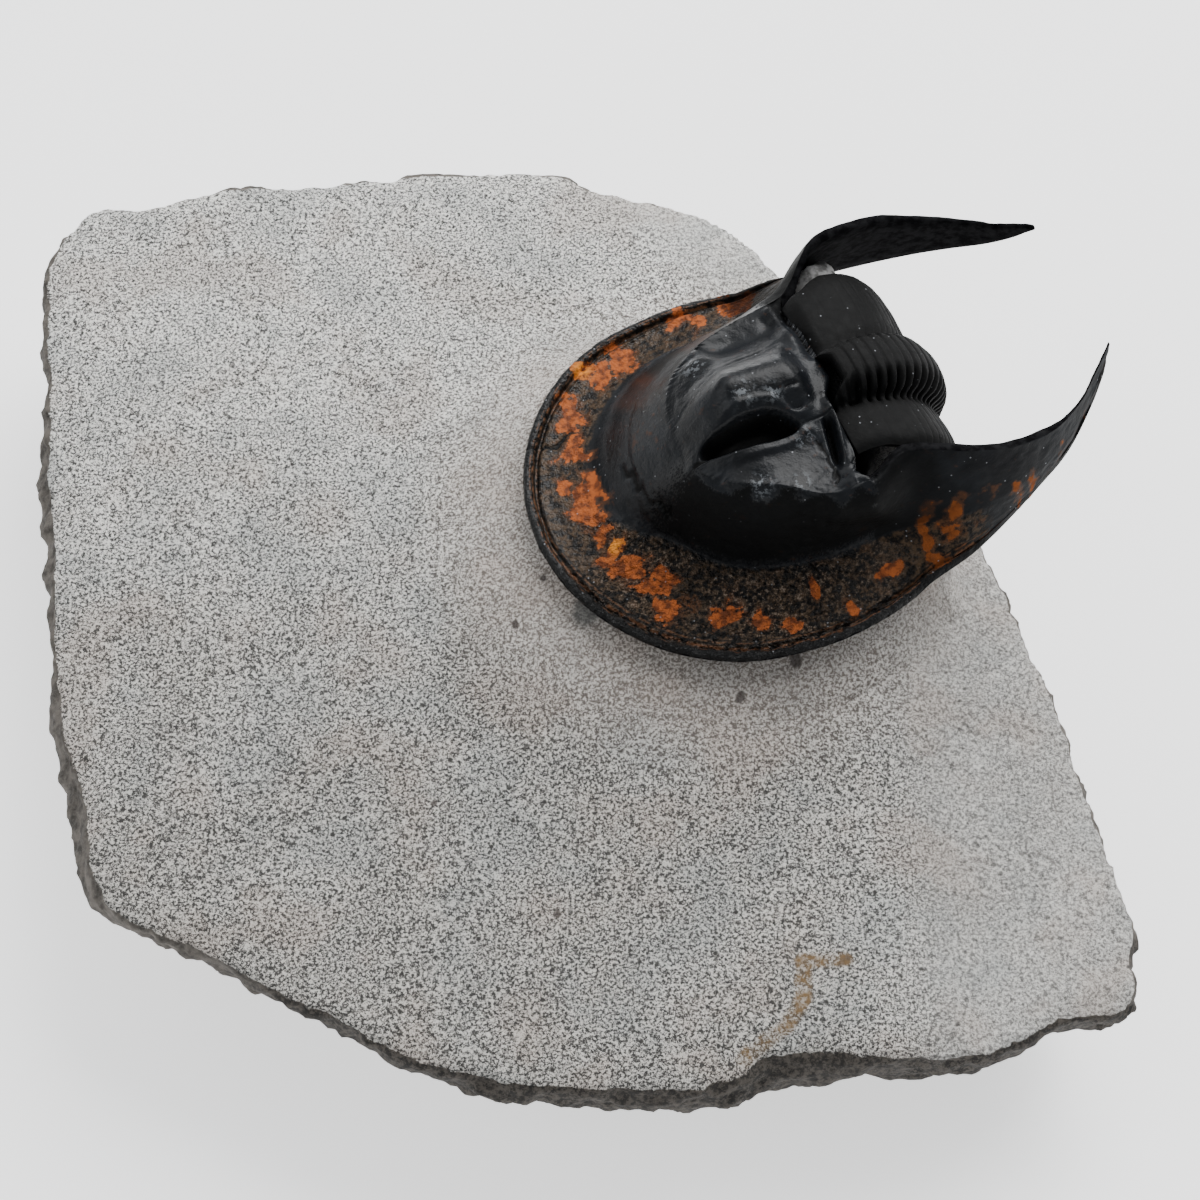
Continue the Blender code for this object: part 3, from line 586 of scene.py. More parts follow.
# %% Round the head
CREST_PASSES, FRONT_PASSES, ROOT_PASSES, CORNER_PASSES = 480, 500, 200, 60
RIGHT_CORNER = (21.5, 9.3)         # (a, l), mm

a, l, d = to_animal(read_points(head)).T
across, top = read_paint(head, "across"), read_paint(head, "top")
outside = (across > 0.001) | (top > 0.001)
line = curve(CREST, np.linspace(0, CORNER, 120))
crest_gap = np.min([np.hypot(a - p[0], np.abs(l) - p[1]) for p in line], axis=0)
before_corner = 1 - smooth((a - 19.8) / 1.6)
on_flank = (across > 0.56) | (top > 0.001)
near_crest = (1 - smooth((crest_gap - 1.6) / 1.4)) * on_flank
front_left = smooth((3.0 - l) / 3.0) * (1 - smooth((a - 14.5) / 4.5))
front_crest = (1 - smooth((crest_gap - 2.6) / 2.0)) * on_flank
front_foot = hump(across - 0.5, 0.13)
horn_root = hump(a - 23.2, 2.4) * smooth((l - 4.0) / 2.0)
horn_root = horn_root * smooth((across - 0.45) / 0.1) * (across < 0.97)
corner = hump(np.hypot(a - RIGHT_CORNER[0], l - RIGHT_CORNER[1]), 1.0) * (d > 7)
relaxed(head, outside * np.maximum(near_crest, front_foot * front_left) * before_corner, CREST_PASSES)
relaxed(head, outside * np.maximum(front_crest, front_foot) * front_left, FRONT_PASSES)
relaxed(head, outside * horn_root, ROOT_PASSES)
relaxed(head, outside * corner, CORNER_PASSES)
print("crest softened on", int((near_crest * outside > 0.1).sum()), "points")

# %% Carve the vault
points = to_animal(read_points(head))
a, l, d = points.T
on_vault = (top > 0.001) & (across < 0.001)
carve = smooth(crest_gap / 2.0) * (1 - smooth((a - 21.6) / 0.9) * smooth((np.abs(l) - 6.6) / 1.2))
sunk = vault_relief(a, l) * carve * on_vault
points[:, 2] += sunk
write_points(head, to_scene(points))
# Painted shade: the deepest parts of the carved relief, the slot and the neck furrow, are marked to
# be coloured dark.
paint(head, "sunk", smooth((-sunk - 0.35) / 0.6))
print("carved from", round(sunk.min(), 2), "to", round(sunk.max(), 2), "mm")

# %% [markdown]
# ## The head shield: weathering
#
# The form is right but too clean. A real brim is pitted all over, rough and glittering below the
# vault, and crossed by a few cracks; the vault is smooth with soft dents. Each point is moved
# along its own normal, so the relief follows the surface. What the colours follow is painted on the
# points: where the brim is, where rust has bloomed, and where the shell is rough, matt or wrinkled.
# Painted shade is put there too, on the steep right flank, at the horns' roots and in the deep
# slots, and painted sheen on a few wrinkled places of the vault.

# %% Marks on the head
RUST = [  # (a, l, radius) of the orange blooms on the brim, mm
    (10.7, -11.9, 1.0), (12.9, -12.4, 0.9), (12.2, -14.0, 0.5), (9.0, -13.2, 0.8),
    (17.5, -14.1, 1.1), (18.8, -13.6, 0.6), (22.3, -13.6, 0.9), (23.4, -13.5, 0.6),
    (22.0, -15.4, 0.5), (26.8, -14.8, 0.6), (6.8, -9.9, 1.1), (5.5, -8.8, 0.9), (5.8, -6.5, 1.2),
    (3.9, -4.2, 0.5), (5.2, -3.2, 0.8), (4.7, -1.7, 1.0), (4.1, 0.2, 0.8), (5.0, 2.2, 0.8),
    (4.1, 2.9, 0.7), (5.2, 4.6, 1.2), (7.4, 6.1, 0.8), (6.0, 6.2, 0.7), (6.7, 8.7, 1.1),
    (6.2, 7.9, 0.7), (10.0, 10.4, 1.0), (9.1, 10.9, 0.6), (12.2, 12.0, 0.8), (14.1, 13.1, 0.7),
    (16.5, 11.7, 0.55), (18.3, 14.0, 0.6), (22.2, 12.5, 0.5), (25.0, 12.4, 0.7), (27.2, 12.0, 0.7),
    (29.3, 11.8, 0.9), (25.5, 13.6, 0.7), (32.1, 12.4, 0.4), (33.4, 11.9, 0.4), (36.4, 10.7, 0.4),
    (39.4, 9.3, 0.3),
]
BRIGHT_RUST = [(5.1, 2.2, 0.65), (9.1, -13.2, 0.65)]   # (a, l, radius) where rust is brightest
# The sheen of these places is painted into the colour as light and dark wrinkles.
SHEEN = [  # (a, l, radius) of wrinkled, shiny places on the vault
    (14.2, -4.6, 0.8), (15.6, 0.6, 0.8), (17.6, 1.3, 0.6), (18.6, 4.6, 0.7), (14.4, 6.6, 0.7),
    (17.0, 7.6, 0.6),
]
CRACKS = [  # straight runs, (a, l) to (a, l)
    ((2.0, -8.6), (3.4, -8.0)), ((3.4, -8.0), (4.6, -7.9)), ((4.6, -7.9), (6.3, -8.3)),
    ((7.6, -2.4), (7.9, -0.4)), ((7.9, -0.4), (8.1, 1.6)), ((8.1, 1.6), (8.9, 3.2)),
    ((19.3, 5.2), (19.6, 6.6)), ((19.6, 6.6), (19.3, 8.4)), ((10.7, 2.7), (11.8, 2.9)),
]
CRACK_WIDTH, CRACK_DEPTH = 0.13, 0.2   # mm
RIM_BAND = 3.0                     # how far in from the rim its fine ridges are drawn, mm


def near_line(points, start, end):
    """Distance in plan, mm, from a straight run."""
    start, end = np.array(start), np.array(end)
    way = end - start
    offset = points[:, :2] - start
    t = np.clip(offset @ way / (way @ way), 0, 1)[:, None]
    return np.linalg.norm(offset - t * way, axis=1)


place = to_animal(read_points(head))
a, l, d = place.T
across = read_paint(head, "across")
on_skirt = across > 0.001
brim = on_skirt * (1 - smooth((across - 0.44) / 0.1)) * (1 - 0.8 * smooth((a - 27) / 4))
wander = np.stack([clouds(place, 2.6, 3, 1), clouds(place, 2.6, 3, 2)], 1)
rust = np.zeros(len(a))
for rust_a, rust_l, radius in RUST:
    reach = 1.3 * min(1.0, radius / 0.8)
    away = np.hypot(a + wander[:, 0] * reach - rust_a, l + wander[:, 1] * reach - rust_l)
    rust = np.maximum(rust, np.clip(1.25 - 0.75 * away / radius, 0, 1))
rust *= on_skirt * (1 - smooth((across - 0.56) / 0.12)) * (1 - 0.18 * smooth((a - 23) / 2))
bright = np.max([hump(np.hypot(a - p[0], l - p[1]), p[2]) for p in BRIGHT_RUST], axis=0)
shaky = place + 0.35 * np.stack([clouds(place, 0.9, 2, 3), clouds(place, 0.9, 2, 4), 0 * a], 1)
crack = np.max([hump(near_line(shaky, *run), CRACK_WIDTH) for run in CRACKS], axis=0) * (d > -0.3)
rough = hump(across - 0.46, 0.2) * smooth((l + 2.0) / 4) * smooth((24 - a) / 5)
rough += 0.75 * brim * smooth((l - 2.0) / 3) * smooth((26 - a) / 6)
rough += 0.55 * hump(np.hypot(a - 17.5, l - 9.6), 2.6) + smooth((a - 25) / 3)
print("rust on", int((rust > 0.5).sum()), "points, cracks on", int((crack > 0.5).sum()))

# %% Head relief
fine, coarse = clouds(place, 0.75, 3, 5), clouds(place, 2.4, 3, 6)
dents, wrinkles = clouds(place, 5.5, 2, 7), clouds(place, 1.1, 2, 8)
relief = brim * (0.055 * fine + 0.06 * coarse) + 0.05 * rust * np.abs(fine)
relief += np.clip(rough, 0, 1) * (0.13 - 0.09 * smooth((a - 24) / 3)) * fine
relief += (1 - brim) * (0.03 * coarse + 0.10 * dents * (d > 4) + 0.035 * wrinkles * (d > 7))
relief -= CRACK_DEPTH * crack
relief *= on_skirt | (d > 8.4)
write_points(head, read_points(head) + normals(head) * (relief * MM)[:, None])
finished(head, "SMOOTH", factor=0.35, iterations=1)
print("relief from", round(relief.min(), 2), "to", round(relief.max(), 2), "mm")

# %% Head paints
brim_width = (8.0 - 3.5 * smooth((a - 22) / 6)) * (1 - 0.7 * smooth((a - 30) / 10))
inwards = (2 * across) ** ACROSS_POWER * brim_width
frayed = across + 0.12 * clouds(place, 1.6, 2, 9)
steep = smooth((across - 0.5) / 0.08) * (1 - smooth((frayed - 0.9) / 0.06))
right_flank = steep * smooth((l - 1.0) / 3.0) * (1 - smooth((a - 23) / 3))
left_root = smooth((a - 20.5) / 1.5) * smooth((-l - 5.0) / 2.0)
right_root = smooth((a - 21.2) / 0.8) * smooth((l - 8.0) / 0.8) * (d > 3)
matt_share = np.max([smooth((a - 22) / 4), right_flank, left_root, right_root], axis=0)
# Painted shade: the steep right flank and the roots of both horns are darkened nearly to black.
shade_right_root = 0.8 * right_root * (1 - smooth((a - 24) / 4)) * (across > 0.5)
shade_left_root = left_root * (1 - smooth((a - 24.5) / 4))
fading = (1 - 0.6 * smooth((a - 14) / 5)) * (1 - smooth((a - 22) / 4))
sheen = np.max([hump(np.hypot(a - p[0], l - p[1]), p[2]) for p in SHEEN], axis=0) * (d > 6)
head_paints = {
    "matt": matt_share, "sheen": sheen, "dim": smooth((a - 22) / 2),
    "dark": np.max([right_flank, shade_right_root, shade_left_root], axis=0),
    "inward": np.where(on_skirt, inwards / RIM_BAND, 1),
    "bright": bright, "brim": brim, "rust": rust, "rough": rough, "pitted": rough * brim * fading,
    # Real cracks, and painted shade in the deep hollows, share one mark.
    "crack": np.maximum(crack, read_paint(head, "sunk")),
}
for name, values in head_paints.items():
    paint(head, name, values)
print("painted on the head:", ", ".join(head_paints))

# %% [markdown]
# ## The thorax
#
# The body of a harpid has many narrow segments, each a ring over the middle and a flat rib on each
# side. Here they are rolled down over the rock. All of it is one sheet laid on a roller: the
# section across the animal gives the radius, and the angle runs from the head to the tail. On the
# right flank of the middle lobe the joints have opened into deep narrow slots. The front edge
# reaches in under the head's border, so that no gap shows between them.

# %% Thorax
ROLL_AXIS = (23.2, 3.1)
SEGMENTS, SEGMENT_ANGLE, FIRST_ANGLE = 20, math.radians(5.7), math.radians(92.5)
THORAX_SECTION = [
    (0.0, 8.95), (1.0, 8.85), (1.75, 8.55), (2.3, 7.9), (2.65, 6.95), (3.7, 7.05), (5.5, 7.15),
    (7.1, 7.05), (8.0, 6.65),
]
THORAX_LINING = [(0.0, 7.4), (1.4, 7.1), (2.5, 6.2), (5.5, 6.2), (7.8, 6.2)]
PLEURA_RADIUS, LINING_RADIUS = 7.05, 6.2
THORAX_ROWS, THORAX_COLUMNS = 260, 60
RIGHT_REACH, LEFT_REACH = math.radians(12), math.radians(7)   # in under the head's border
LEFT_DIP = 0.75                    # how far the left front edge sinks, mm


def leaned(points):
    """The middle lobe stands a little to the right, and the left side is stretched back."""
    a, l, d = points[:, 0], points[:, 1], points[:, 2]
    stretch = 0.85 * smooth((a - 22.9) / 4.0) * smooth((-l - 1.2) / 2.5)
    shifted = l + 1.1 * (1 - np.clip(np.abs(l) / 8.0, 0, 1) ** 2)
    return np.stack([a + stretch, shifted, d], 1)


def rolled(l, radius, angle):
    """Points on the roller."""
    a = ROLL_AXIS[0] + radius * np.cos(angle)
    return np.stack([a, l, ROLL_AXIS[1] + radius * np.sin(angle)], 1)


def body_width(share):
    """The body is a little narrower at the head, and much narrower at the tail."""
    return 1 - 0.13 * (1 - smooth(share / 0.2)) - 0.32 * smooth((share - 0.5) / 0.5)


def body(share, across, side):
    """The outside of the thorax, share 0 at the head and 1 at the tail."""
    section = curve(THORAX_SECTION, across * (len(THORAX_SECTION) - 1))
    l, radius = section[:, 0], section[:, 1]
    width = body_width(share)
    radius = PLEURA_RADIUS + (radius - PLEURA_RADIUS) * (0.4 + 0.6 * width)
    phase = (share * SEGMENTS) % 1.0
    joint = np.minimum(phase, 1 - phase)
    slot_depth = 1.15 * hump(l - 2.1, 0.6) if side > 0 else 0.2 * hump(l - 2.3, 0.4)
    lobe = 1 - smooth((l - 2.2) / 0.5)
    depth = slot_depth * (1 - smooth((joint - 0.14) / 0.2))
    depth += (0.1 * lobe + 0.022 * (1 - lobe)) * hump(joint, 0.13)
    depth += 0.16 * (1 - lobe) * smooth((share - 0.42) / 0.2) * hump(joint, 0.22)
    dip = LEFT_DIP * (1 - smooth(share / 0.05)) * smooth((l - 1.5) / 2) if side < 0 else 0
    reach = RIGHT_REACH if side > 0 else LEFT_REACH
    ahead = reach * (1 - smooth(share / 0.08)) * smooth((l - 1.0) / 1.5)
    return rolled(l * width, radius - depth - dip,
                  FIRST_ANGLE + ahead - SEGMENTS * SEGMENT_ANGLE * share)


def body_lining(share, across):
    section = curve(THORAX_LINING, across * (len(THORAX_LINING) - 1))
    width = body_width(share)
    radius = LINING_RADIUS + (section[:, 1] - LINING_RADIUS) * (0.4 + 0.6 * width)
    angle = FIRST_ANGLE - SEGMENTS * SEGMENT_ANGLE * share
    return rolled(section[:, 0] * width, radius, angle)


def plate_side(outside, inside, rows, columns, side):
    """The five sheets of one side of a plate: outside, inside, two ends and the free edge."""
    def laid(form):
        return lambda u, v: leaned(form(u, v) * np.array([1.0, side, 1.0]))

    def wall(along, over, share):
        """From the outside down to the inside, at a place on the plate."""
        outer, inner = outside(along, over, side), inside(along, over)
        return outer + (inner - outer) * share[:, None]

    return [
        draped_grid(rows, columns, laid(lambda u, v: outside(u, v, side)), "across"),
        draped_grid(rows, columns, laid(inside)),
        draped_grid(columns, 1, laid(lambda u, v: wall(np.zeros_like(u), u, v))),
        draped_grid(columns, 1, laid(lambda u, v: wall(np.ones_like(u), u, v))),
        draped_grid(rows, 1, laid(lambda u, v: wall(u, np.ones_like(u), v))),
    ]


def plate(outside, inside, rows, columns, name):
    """A closed plate between an outer and an inner form, on both sides of the animal."""
    form = (outside, inside, rows, columns)
    return told(sewn(plate_side(*form, 1) + plate_side(*form, -1), name))


thorax = plate(body, body_lining, THORAX_ROWS, THORAX_COLUMNS, "thorax_rings")

# %% Thorax grain, and painted shade in the slots
place = to_animal(read_points(thorax))
a, l, d = place.T
grain = clouds(place, 0.8, 2, 11) * 0.02 + clouds(place, 3.0, 2, 12) * 0.06
on_slots = hump(l - 3.05, 0.75) * (read_paint(thorax, "across") > 0.001)
turn = np.arctan2(d - ROLL_AXIS[1], a - ROLL_AXIS[0])
phase = ((FIRST_ANGLE - turn) / SEGMENT_ANGLE) % 1.0
joint = np.minimum(phase, 1 - phase)
write_points(thorax, read_points(thorax) + normals(thorax) * (grain * MM)[:, None])
# Painted shade: the open slots of the joints on the right of the middle lobe are marked to be
# coloured black.
paint(thorax, "crack", on_slots * (1 - smooth((joint - 0.14) / 0.2)))
paint(thorax, "rough", np.ones(len(a)))
print("thorax grain up to", round(np.abs(grain).max(), 3), "mm")

# %% [markdown]
# ## The tail shield
#
# The tail of a harpid is tiny: a half-round plate that closes the roll. It is the same kind of
# plate as the thorax, on the same roller, only narrower and rounded off at its end.

# %% Tail
TAIL_START = FIRST_ANGLE - SEGMENTS * SEGMENT_ANGLE - math.radians(3.0)
TAIL_ANGLE, TAIL_HALF_WIDTH = math.radians(24), 5.2
TAIL_SECTION = [(0.0, 8.5), (0.22, 8.3), (0.36, 7.4), (0.7, 7.4), (1.0, 6.9)]
TAIL_LINING = [(0.0, 6.6), (0.5, 6.3), (0.97, 6.25)]
TAIL_ROWS, TAIL_COLUMNS = 70, 36


def tail_width(share):
    """Half the tail's width, mm, rounded off at its end."""
    return TAIL_HALF_WIDTH * np.sqrt(1 - 0.94 * share ** 2)


def tail(share, across, side):
    section = curve(TAIL_SECTION, across * (len(TAIL_SECTION) - 1))
    ribs = 0.12 * hump((share * 5) % 1.0 - 0.5, 0.16) * smooth(across * 3) * (share < 0.8)
    radius = section[:, 1] - 0.5 * share - ribs
    return rolled(section[:, 0] * tail_width(share), radius, TAIL_START - TAIL_ANGLE * share)


def tail_lining(share, across):
    section = curve(TAIL_LINING, across * (len(TAIL_LINING) - 1))
    return rolled(section[:, 0] * tail_width(share), section[:, 1], TAIL_START - TAIL_ANGLE * share)


tail_shield = plate(tail, tail_lining, TAIL_ROWS, TAIL_COLUMNS, "tail_shield")

# %% [markdown]
# ## The slab
#
# The limestone was sawn flat below, broken round its sides, and worn smooth on top where the
# preparator cleared it down to the shell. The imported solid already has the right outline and
# undercut, so a copy of it is the best start: it is merged, rebuilt in even small faces by a voxel
# remesh, smoothed where the rock is smooth, and roughened where it is broken.

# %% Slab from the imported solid
GRAIN_STEP = 0.00042               # side of the small faces, metres
PEDESTAL_TOP = -1.6                # rock above this, in d, stands close under the brim, mm
ROCK_UNDER_BRIM = 0.3              # the pedestal's top is raised by this to meet the brim, mm
ROCK_IN_VAULT = 1.6                # the vault's filling is lowered by this, clear of the slot, mm

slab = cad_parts["matrix"].copy()
slab.data = slab.data.copy()
slab.name = "limestone_slab"
slab.parent = None
bpy.context.scene.collection.objects.link(slab)
select_only([slab])
bpy.ops.object.mode_set(mode="EDIT")
bpy.ops.mesh.select_all(action="SELECT")
bpy.ops.mesh.remove_doubles(threshold=0.00001)
bpy.ops.object.mode_set(mode="OBJECT")
slab.data.materials.clear()
finished(slab, "REMESH", mode="VOXEL", voxel_size=GRAIN_STEP)
print("slab remeshed to", len(slab.data.vertices), "points")

# %% Fit the rock to the shell and calm the top
a, l, d = to_animal(read_points(slab)).T
points = read_points(slab) / MM
out = normals(slab)
level = smooth((out[:, 2] - 0.75) / 0.2) * (d < PEDESTAL_TOP)
calm_top = np.nonzero((level > 0.5) & (points[:, 2] > 8))[0]
rim_l = np.interp(a, [p[0] for p in RIM], [p[1] for p in RIM])
under_head = (a > 0) & (a < 28) & (np.abs(l) < rim_l - 0.2)
close_below = under_head & (d > PEDESTAL_TOP)
in_vault = under_head & (np.abs(l) < 7.6) & (a < 22.2)
points[:, 2] += ROCK_UNDER_BRIM * (close_below & (d < 0))
points[:, 2] -= ROCK_IN_VAULT * smooth((d - 2.0) / 2.0) * in_vault
write_points(slab, points * MM)
calm = slab.vertex_groups.new(name="calm")
calm.add([int(i) for i in calm_top], 1.0, "REPLACE")
finished(slab, "SMOOTH", factor=0.5, iterations=5)
finished(slab, "SMOOTH", factor=0.5, iterations=60, vertex_group="calm")
slab.vertex_groups.clear()
print("calm top on", len(calm_top), "points")

# %% Roughen the slab
LOW_CORNER, TOP_RISE = 15.6, 1.2   # the top's least height, and how far it rises from there, mm
WEB_SWELL = 0.55                   # how far the rock swells at the root of the left horn, mm

out = normals(slab)
scene_mm = read_points(slab) / MM
x, y, z = scene_mm.T
on_top = smooth((out[:, 2] - 0.62) / 0.25)
top_height = LOW_CORNER + TOP_RISE * (0.6 * smooth((30 - x) / 80) + 0.4 * smooth((y + 40) / 80))
broken = (1 - on_top) * smooth((top_height + 0.1 - z) / 0.9)
chunks = clouds(scene_mm * np.array([1, 1, 1.6]), 5.0, 3, 21)
chips, waves = clouds(scene_mm, 1.7, 3, 22), clouds(scene_mm, 7.0, 3, 23)
pits = np.clip(clouds(scene_mm, 1.5, 2, 24) - 0.25, 0, 1)
relief = broken * (0.6 * chunks + 0.42 * chips + 0.12)
relief += on_top * (d < -1.0) * (0.10 * waves + 0.05 * chips - 0.22 * pits)
relief += (1 - broken) * (1 - on_top) * (0.12 * chips)
relief = np.where((z < 0.4) | close_below, 0, relief)
web = smooth((-l - 6.0) / 0.6) * smooth(a - 23.2) * smooth((4.2 - np.abs(d - 6.0)) / 1.2)
relief += WEB_SWELL * web
dressed = scene_mm + out * relief[:, None]
least, most = (np.array(corner[:2]) / MM for corner in cad_box)
dressed[:, :2] = np.clip(dressed[:, :2], least, most)
write_points(slab, dressed * MM)
slab.data.shade_smooth()
print("slab relief from", round(relief.min(), 2), "to", round(relief.max(), 2), "mm")

# %% Slab paints
beside_head = np.hypot(a - 14, l) - 15
slab_paints = {
    "broken": broken,
    "calm": np.maximum(smooth((x - 23) / 5), smooth((x + y - 36) / 8)),
    # Painted shade on the broken side that faces the front, away from the key light.
    "near": smooth((0.1 - out[:, 1]) / 0.5) * smooth((x + 28) / 12),
    "shade": smooth((34 - y) / 58) * (1 - 0.5 * smooth((x - 18) / 14)),
    # Painted shade: the rock close under the head is darkened nearly to black.
    "shade_under_head": under_head * smooth((d + 1.2) / 0.8) * (np.abs(l) < 8.0) * (a > 3),
    "pale": smooth((a - 23) / 2) * smooth((5 - np.abs(d - 5)) / 1.5),
    "apron": (1 - smooth(beside_head / 9.0)) * (d < -1.0),
}
for name, values in slab_paints.items():
    paint(slab, name, values)
told(slab)

# %% [markdown]
# ## Writing materials as sums
#
# A material is a web of nodes, and most of the web is arithmetic. Wrapping each socket in a small
# class lets the arithmetic be written as plain expressions, and every other node comes from one
# method. All patterns stand in the piece's own coordinates or on its painted points.

# %% Shader helpers
class Value:
    """One number of a material, varying over the surface."""

    def __init__(self, finish, socket):
        self.finish, self.socket = finish, socket

    def sum(self, operation, first, second):
        return self.finish.make("ShaderNodeMath", {"operation": operation}, {0: first, 1: second})

    def __add__(self, other):
        return self.sum("ADD", self, other)

    def __radd__(self, other):
        return self.sum("ADD", other, self)

    def __sub__(self, other):
        return self.sum("SUBTRACT", self, other)

    def __rsub__(self, other):
        return self.sum("SUBTRACT", other, self)

    def __mul__(self, other):
        return self.sum("MULTIPLY", self, other)

    def __rmul__(self, other):
        return self.sum("MULTIPLY", other, self)

    def most(self, other):
        return self.sum("MAXIMUM", self, other)

    def step(self, low, high):
        """0 below low, 1 above high, smooth between; low may be above high."""
        flip = low > high
        low, high = min(low, high), max(low, high)
        ends = {"From Min": low, "From Max": high, "To Min": int(flip), "To Max": int(not flip)}
        settings = {"interpolation_type": "SMOOTHSTEP"}
        return self.finish.make("ShaderNodeMapRange", settings, {"Value": self, **ends})


class Finish:
    """A material, with its Principled shader and one way to add a node."""

    def __init__(self, name):
        self.material = bpy.data.materials.new(name)
        self.material.use_nodes = True
        self.tree = self.material.node_tree
        self.shader = self.tree.nodes["Principled BSDF"]
        self.where = self.make("ShaderNodeTexCoord", {}, {}, "Object")

    def connect(self, value, socket):
        if isinstance(value, Value):
            self.tree.links.new(value.socket, socket)
        elif hasattr(socket.default_value, "__len__") and len(socket.default_value) == 4:
            socket.default_value = (*value, 1) if len(value) == 3 else value
        else:
            socket.default_value = value

    def make(self, kind, settings, inputs, output=0):
        node = self.tree.nodes.new(kind)
        for key, value in settings.items():
            setattr(node, key, value)
        for key, value in inputs.items():
            self.connect(value, node.inputs[key])
        return Value(self, node.outputs[output])

    def noise(self, size, detail=3.0, rough=0.55, where=None):
        """Cloudy noise from 0 to 1 with blots about size mm across."""
        inputs = {"Vector": where or self.where, "Scale": 1 / (size * MM), "Detail": detail,
                  "Roughness": rough}
        return self.make("ShaderNodeTexNoise", {}, inputs)

    def grains(self, size, share, radius=0.4):
        """Scattered dots: 1 in some of the cells, which are about size mm apart."""
        inputs = {"Vector": self.where, "Scale": 1 / (size * MM)}
        distance = self.make("ShaderNodeTexVoronoi", {}, inputs, "Distance")
        chance = self.make("ShaderNodeTexVoronoi", {}, inputs, "Color")
        chosen = self.make("ShaderNodeSeparateColor", {}, {0: chance}).step(share, share - 0.02)
        return chosen * distance.step(radius, radius * 0.5)

    def painted(self, name):
        return self.make("ShaderNodeAttribute", {"attribute_name": name}, {}, "Fac")

    def mix(self, share, first, second):
        inputs = {0: share, 6: first, 7: second}
        return self.make("ShaderNodeMix", {"data_type": "RGBA"}, inputs, 2)

    def vector(self, operation, first, second, output=0):
        settings = {"operation": operation}
        return self.make("ShaderNodeVectorMath", settings, {0: first, 1: second}, output)

    def wandering(self, reach, size):
        """The piece's coordinates, flattened to plan and shaken by noise, so marks are uneven."""
        inputs = {"Vector": self.where, "Scale": 1 / (size * MM)}
        shake = self.make("ShaderNodeTexNoise", {}, inputs, "Color")
        shake = self.vector("SUBTRACT", shake, (0.5, 0.5, 0.5))
        shake = self.vector("MULTIPLY", shake, (2 * reach * MM, 2 * reach * MM, 0))
        return self.vector("MULTIPLY", self.vector("ADD", self.where, shake), (1, 1, 0))

    def spot(self, centre, radius, where):
        """1 within radius mm of a plan point, fading to 0 a little beyond."""
        distance = self.vector("DISTANCE", where, centre, "Value")
        return distance.step(radius * 1.3 * MM, radius * 0.6 * MM)

    def stroke(self, start, end, width, where):
        """1 along a straight run, width mm wide."""
        way = np.array(end) - np.array(start)
        offset = self.vector("SUBTRACT", where, tuple(start))
        share = self.vector("DOT_PRODUCT", offset, tuple(way / (way @ way)), "Value")
        share = self.make("ShaderNodeClamp", {}, {"Value": share})
        nearest = self.make("ShaderNodeVectorMath", {"operation": "SCALE"},
                            {0: tuple(way), "Scale": share})
        gap = self.vector("DISTANCE", offset, nearest, "Value")
        return gap.step(width * 0.75 * MM, width * 0.3 * MM)

    def bump(self, height, depth, below=None):
        """Relief depth mm high where height goes from 0 to 1."""
        inputs = {"Height": height, "Distance": depth * MM}
        if below:
            inputs["Normal"] = below
        return self.make("ShaderNodeBump", {}, inputs)

    def set(self, **inputs):
        for key, value in inputs.items():
            self.connect(value, self.shader.inputs[key.replace("_", " ")])


def on_plan(a, l):
    """Plan place in the scene, metres, of a point of the animal."""
    x, y, _ = to_scene(np.array([[a, l, 0.0]]))[0]
    return (float(x), float(y), 0.0)


# %% [markdown]
# ## The shell's finish
#
# Fossil shell is calcite stained by iron and carbon: blue-black and glossy where it was polished
# by the needle, brown and dull where its pitted outer skin remains, and orange where iron has
# rusted out. The painted marks say where each begins, and fine noise frays their edges. Some of
# the colour is painted light and shade: glints and shaded pits on the rough brim, sheen on the
# vault, black slots, a near-black right flank and horn roots, and a shaded, near-black copy of the
# shell for its inner faces. The horns, the flank and the body are matt, and a shader's reflection
# strength is one number all over, so they have a second finish from the same recipe.

# %% Shell colours
JET = (0.002, 0.002, 0.002)
RIM_RIDGES = [(0.82, 0.6), (1.2, 0.75), (1.62, 0.4)]   # (mm in from the rim, strength)
RIM_GROOVES = [1.0, 1.42, 1.8]                         # mm in from the rim


def flecked(shell, colour, cloud, brim_here):
    """Painted glints and painted shade in pits on the rough brim, and painted sheen in wrinkles on
    the vault.
    """
    glitter, wrinkle = shell.noise(0.3, 4.0, 0.8), shell.noise(0.45, 3.0, 0.7)
    pitted, sheen = shell.painted("pitted"), shell.painted("sheen")
    pale = (pitted * 0.7 + brim_here * 0.06) * cloud.step(0.38, 0.62)
    # Painted glints: pale flecks on the rough brim.
    colour = shell.mix(glitter.step(0.55, 0.63) * pale, colour, (0.23, 0.18, 0.14))
    # Painted shade: black flecks in its pits.
    colour = shell.mix(glitter.step(0.5, 0.43) * (pitted * 0.5 + brim_here * 0.4), colour, JET)
    # Painted sheen: light and dark wrinkles on the vault's shiny places.
    colour = shell.mix(sheen * wrinkle.step(0.52, 0.6), colour, (0.13, 0.14, 0.15))
    return shell.mix(sheen * wrinkle.step(0.48, 0.42), colour, JET)


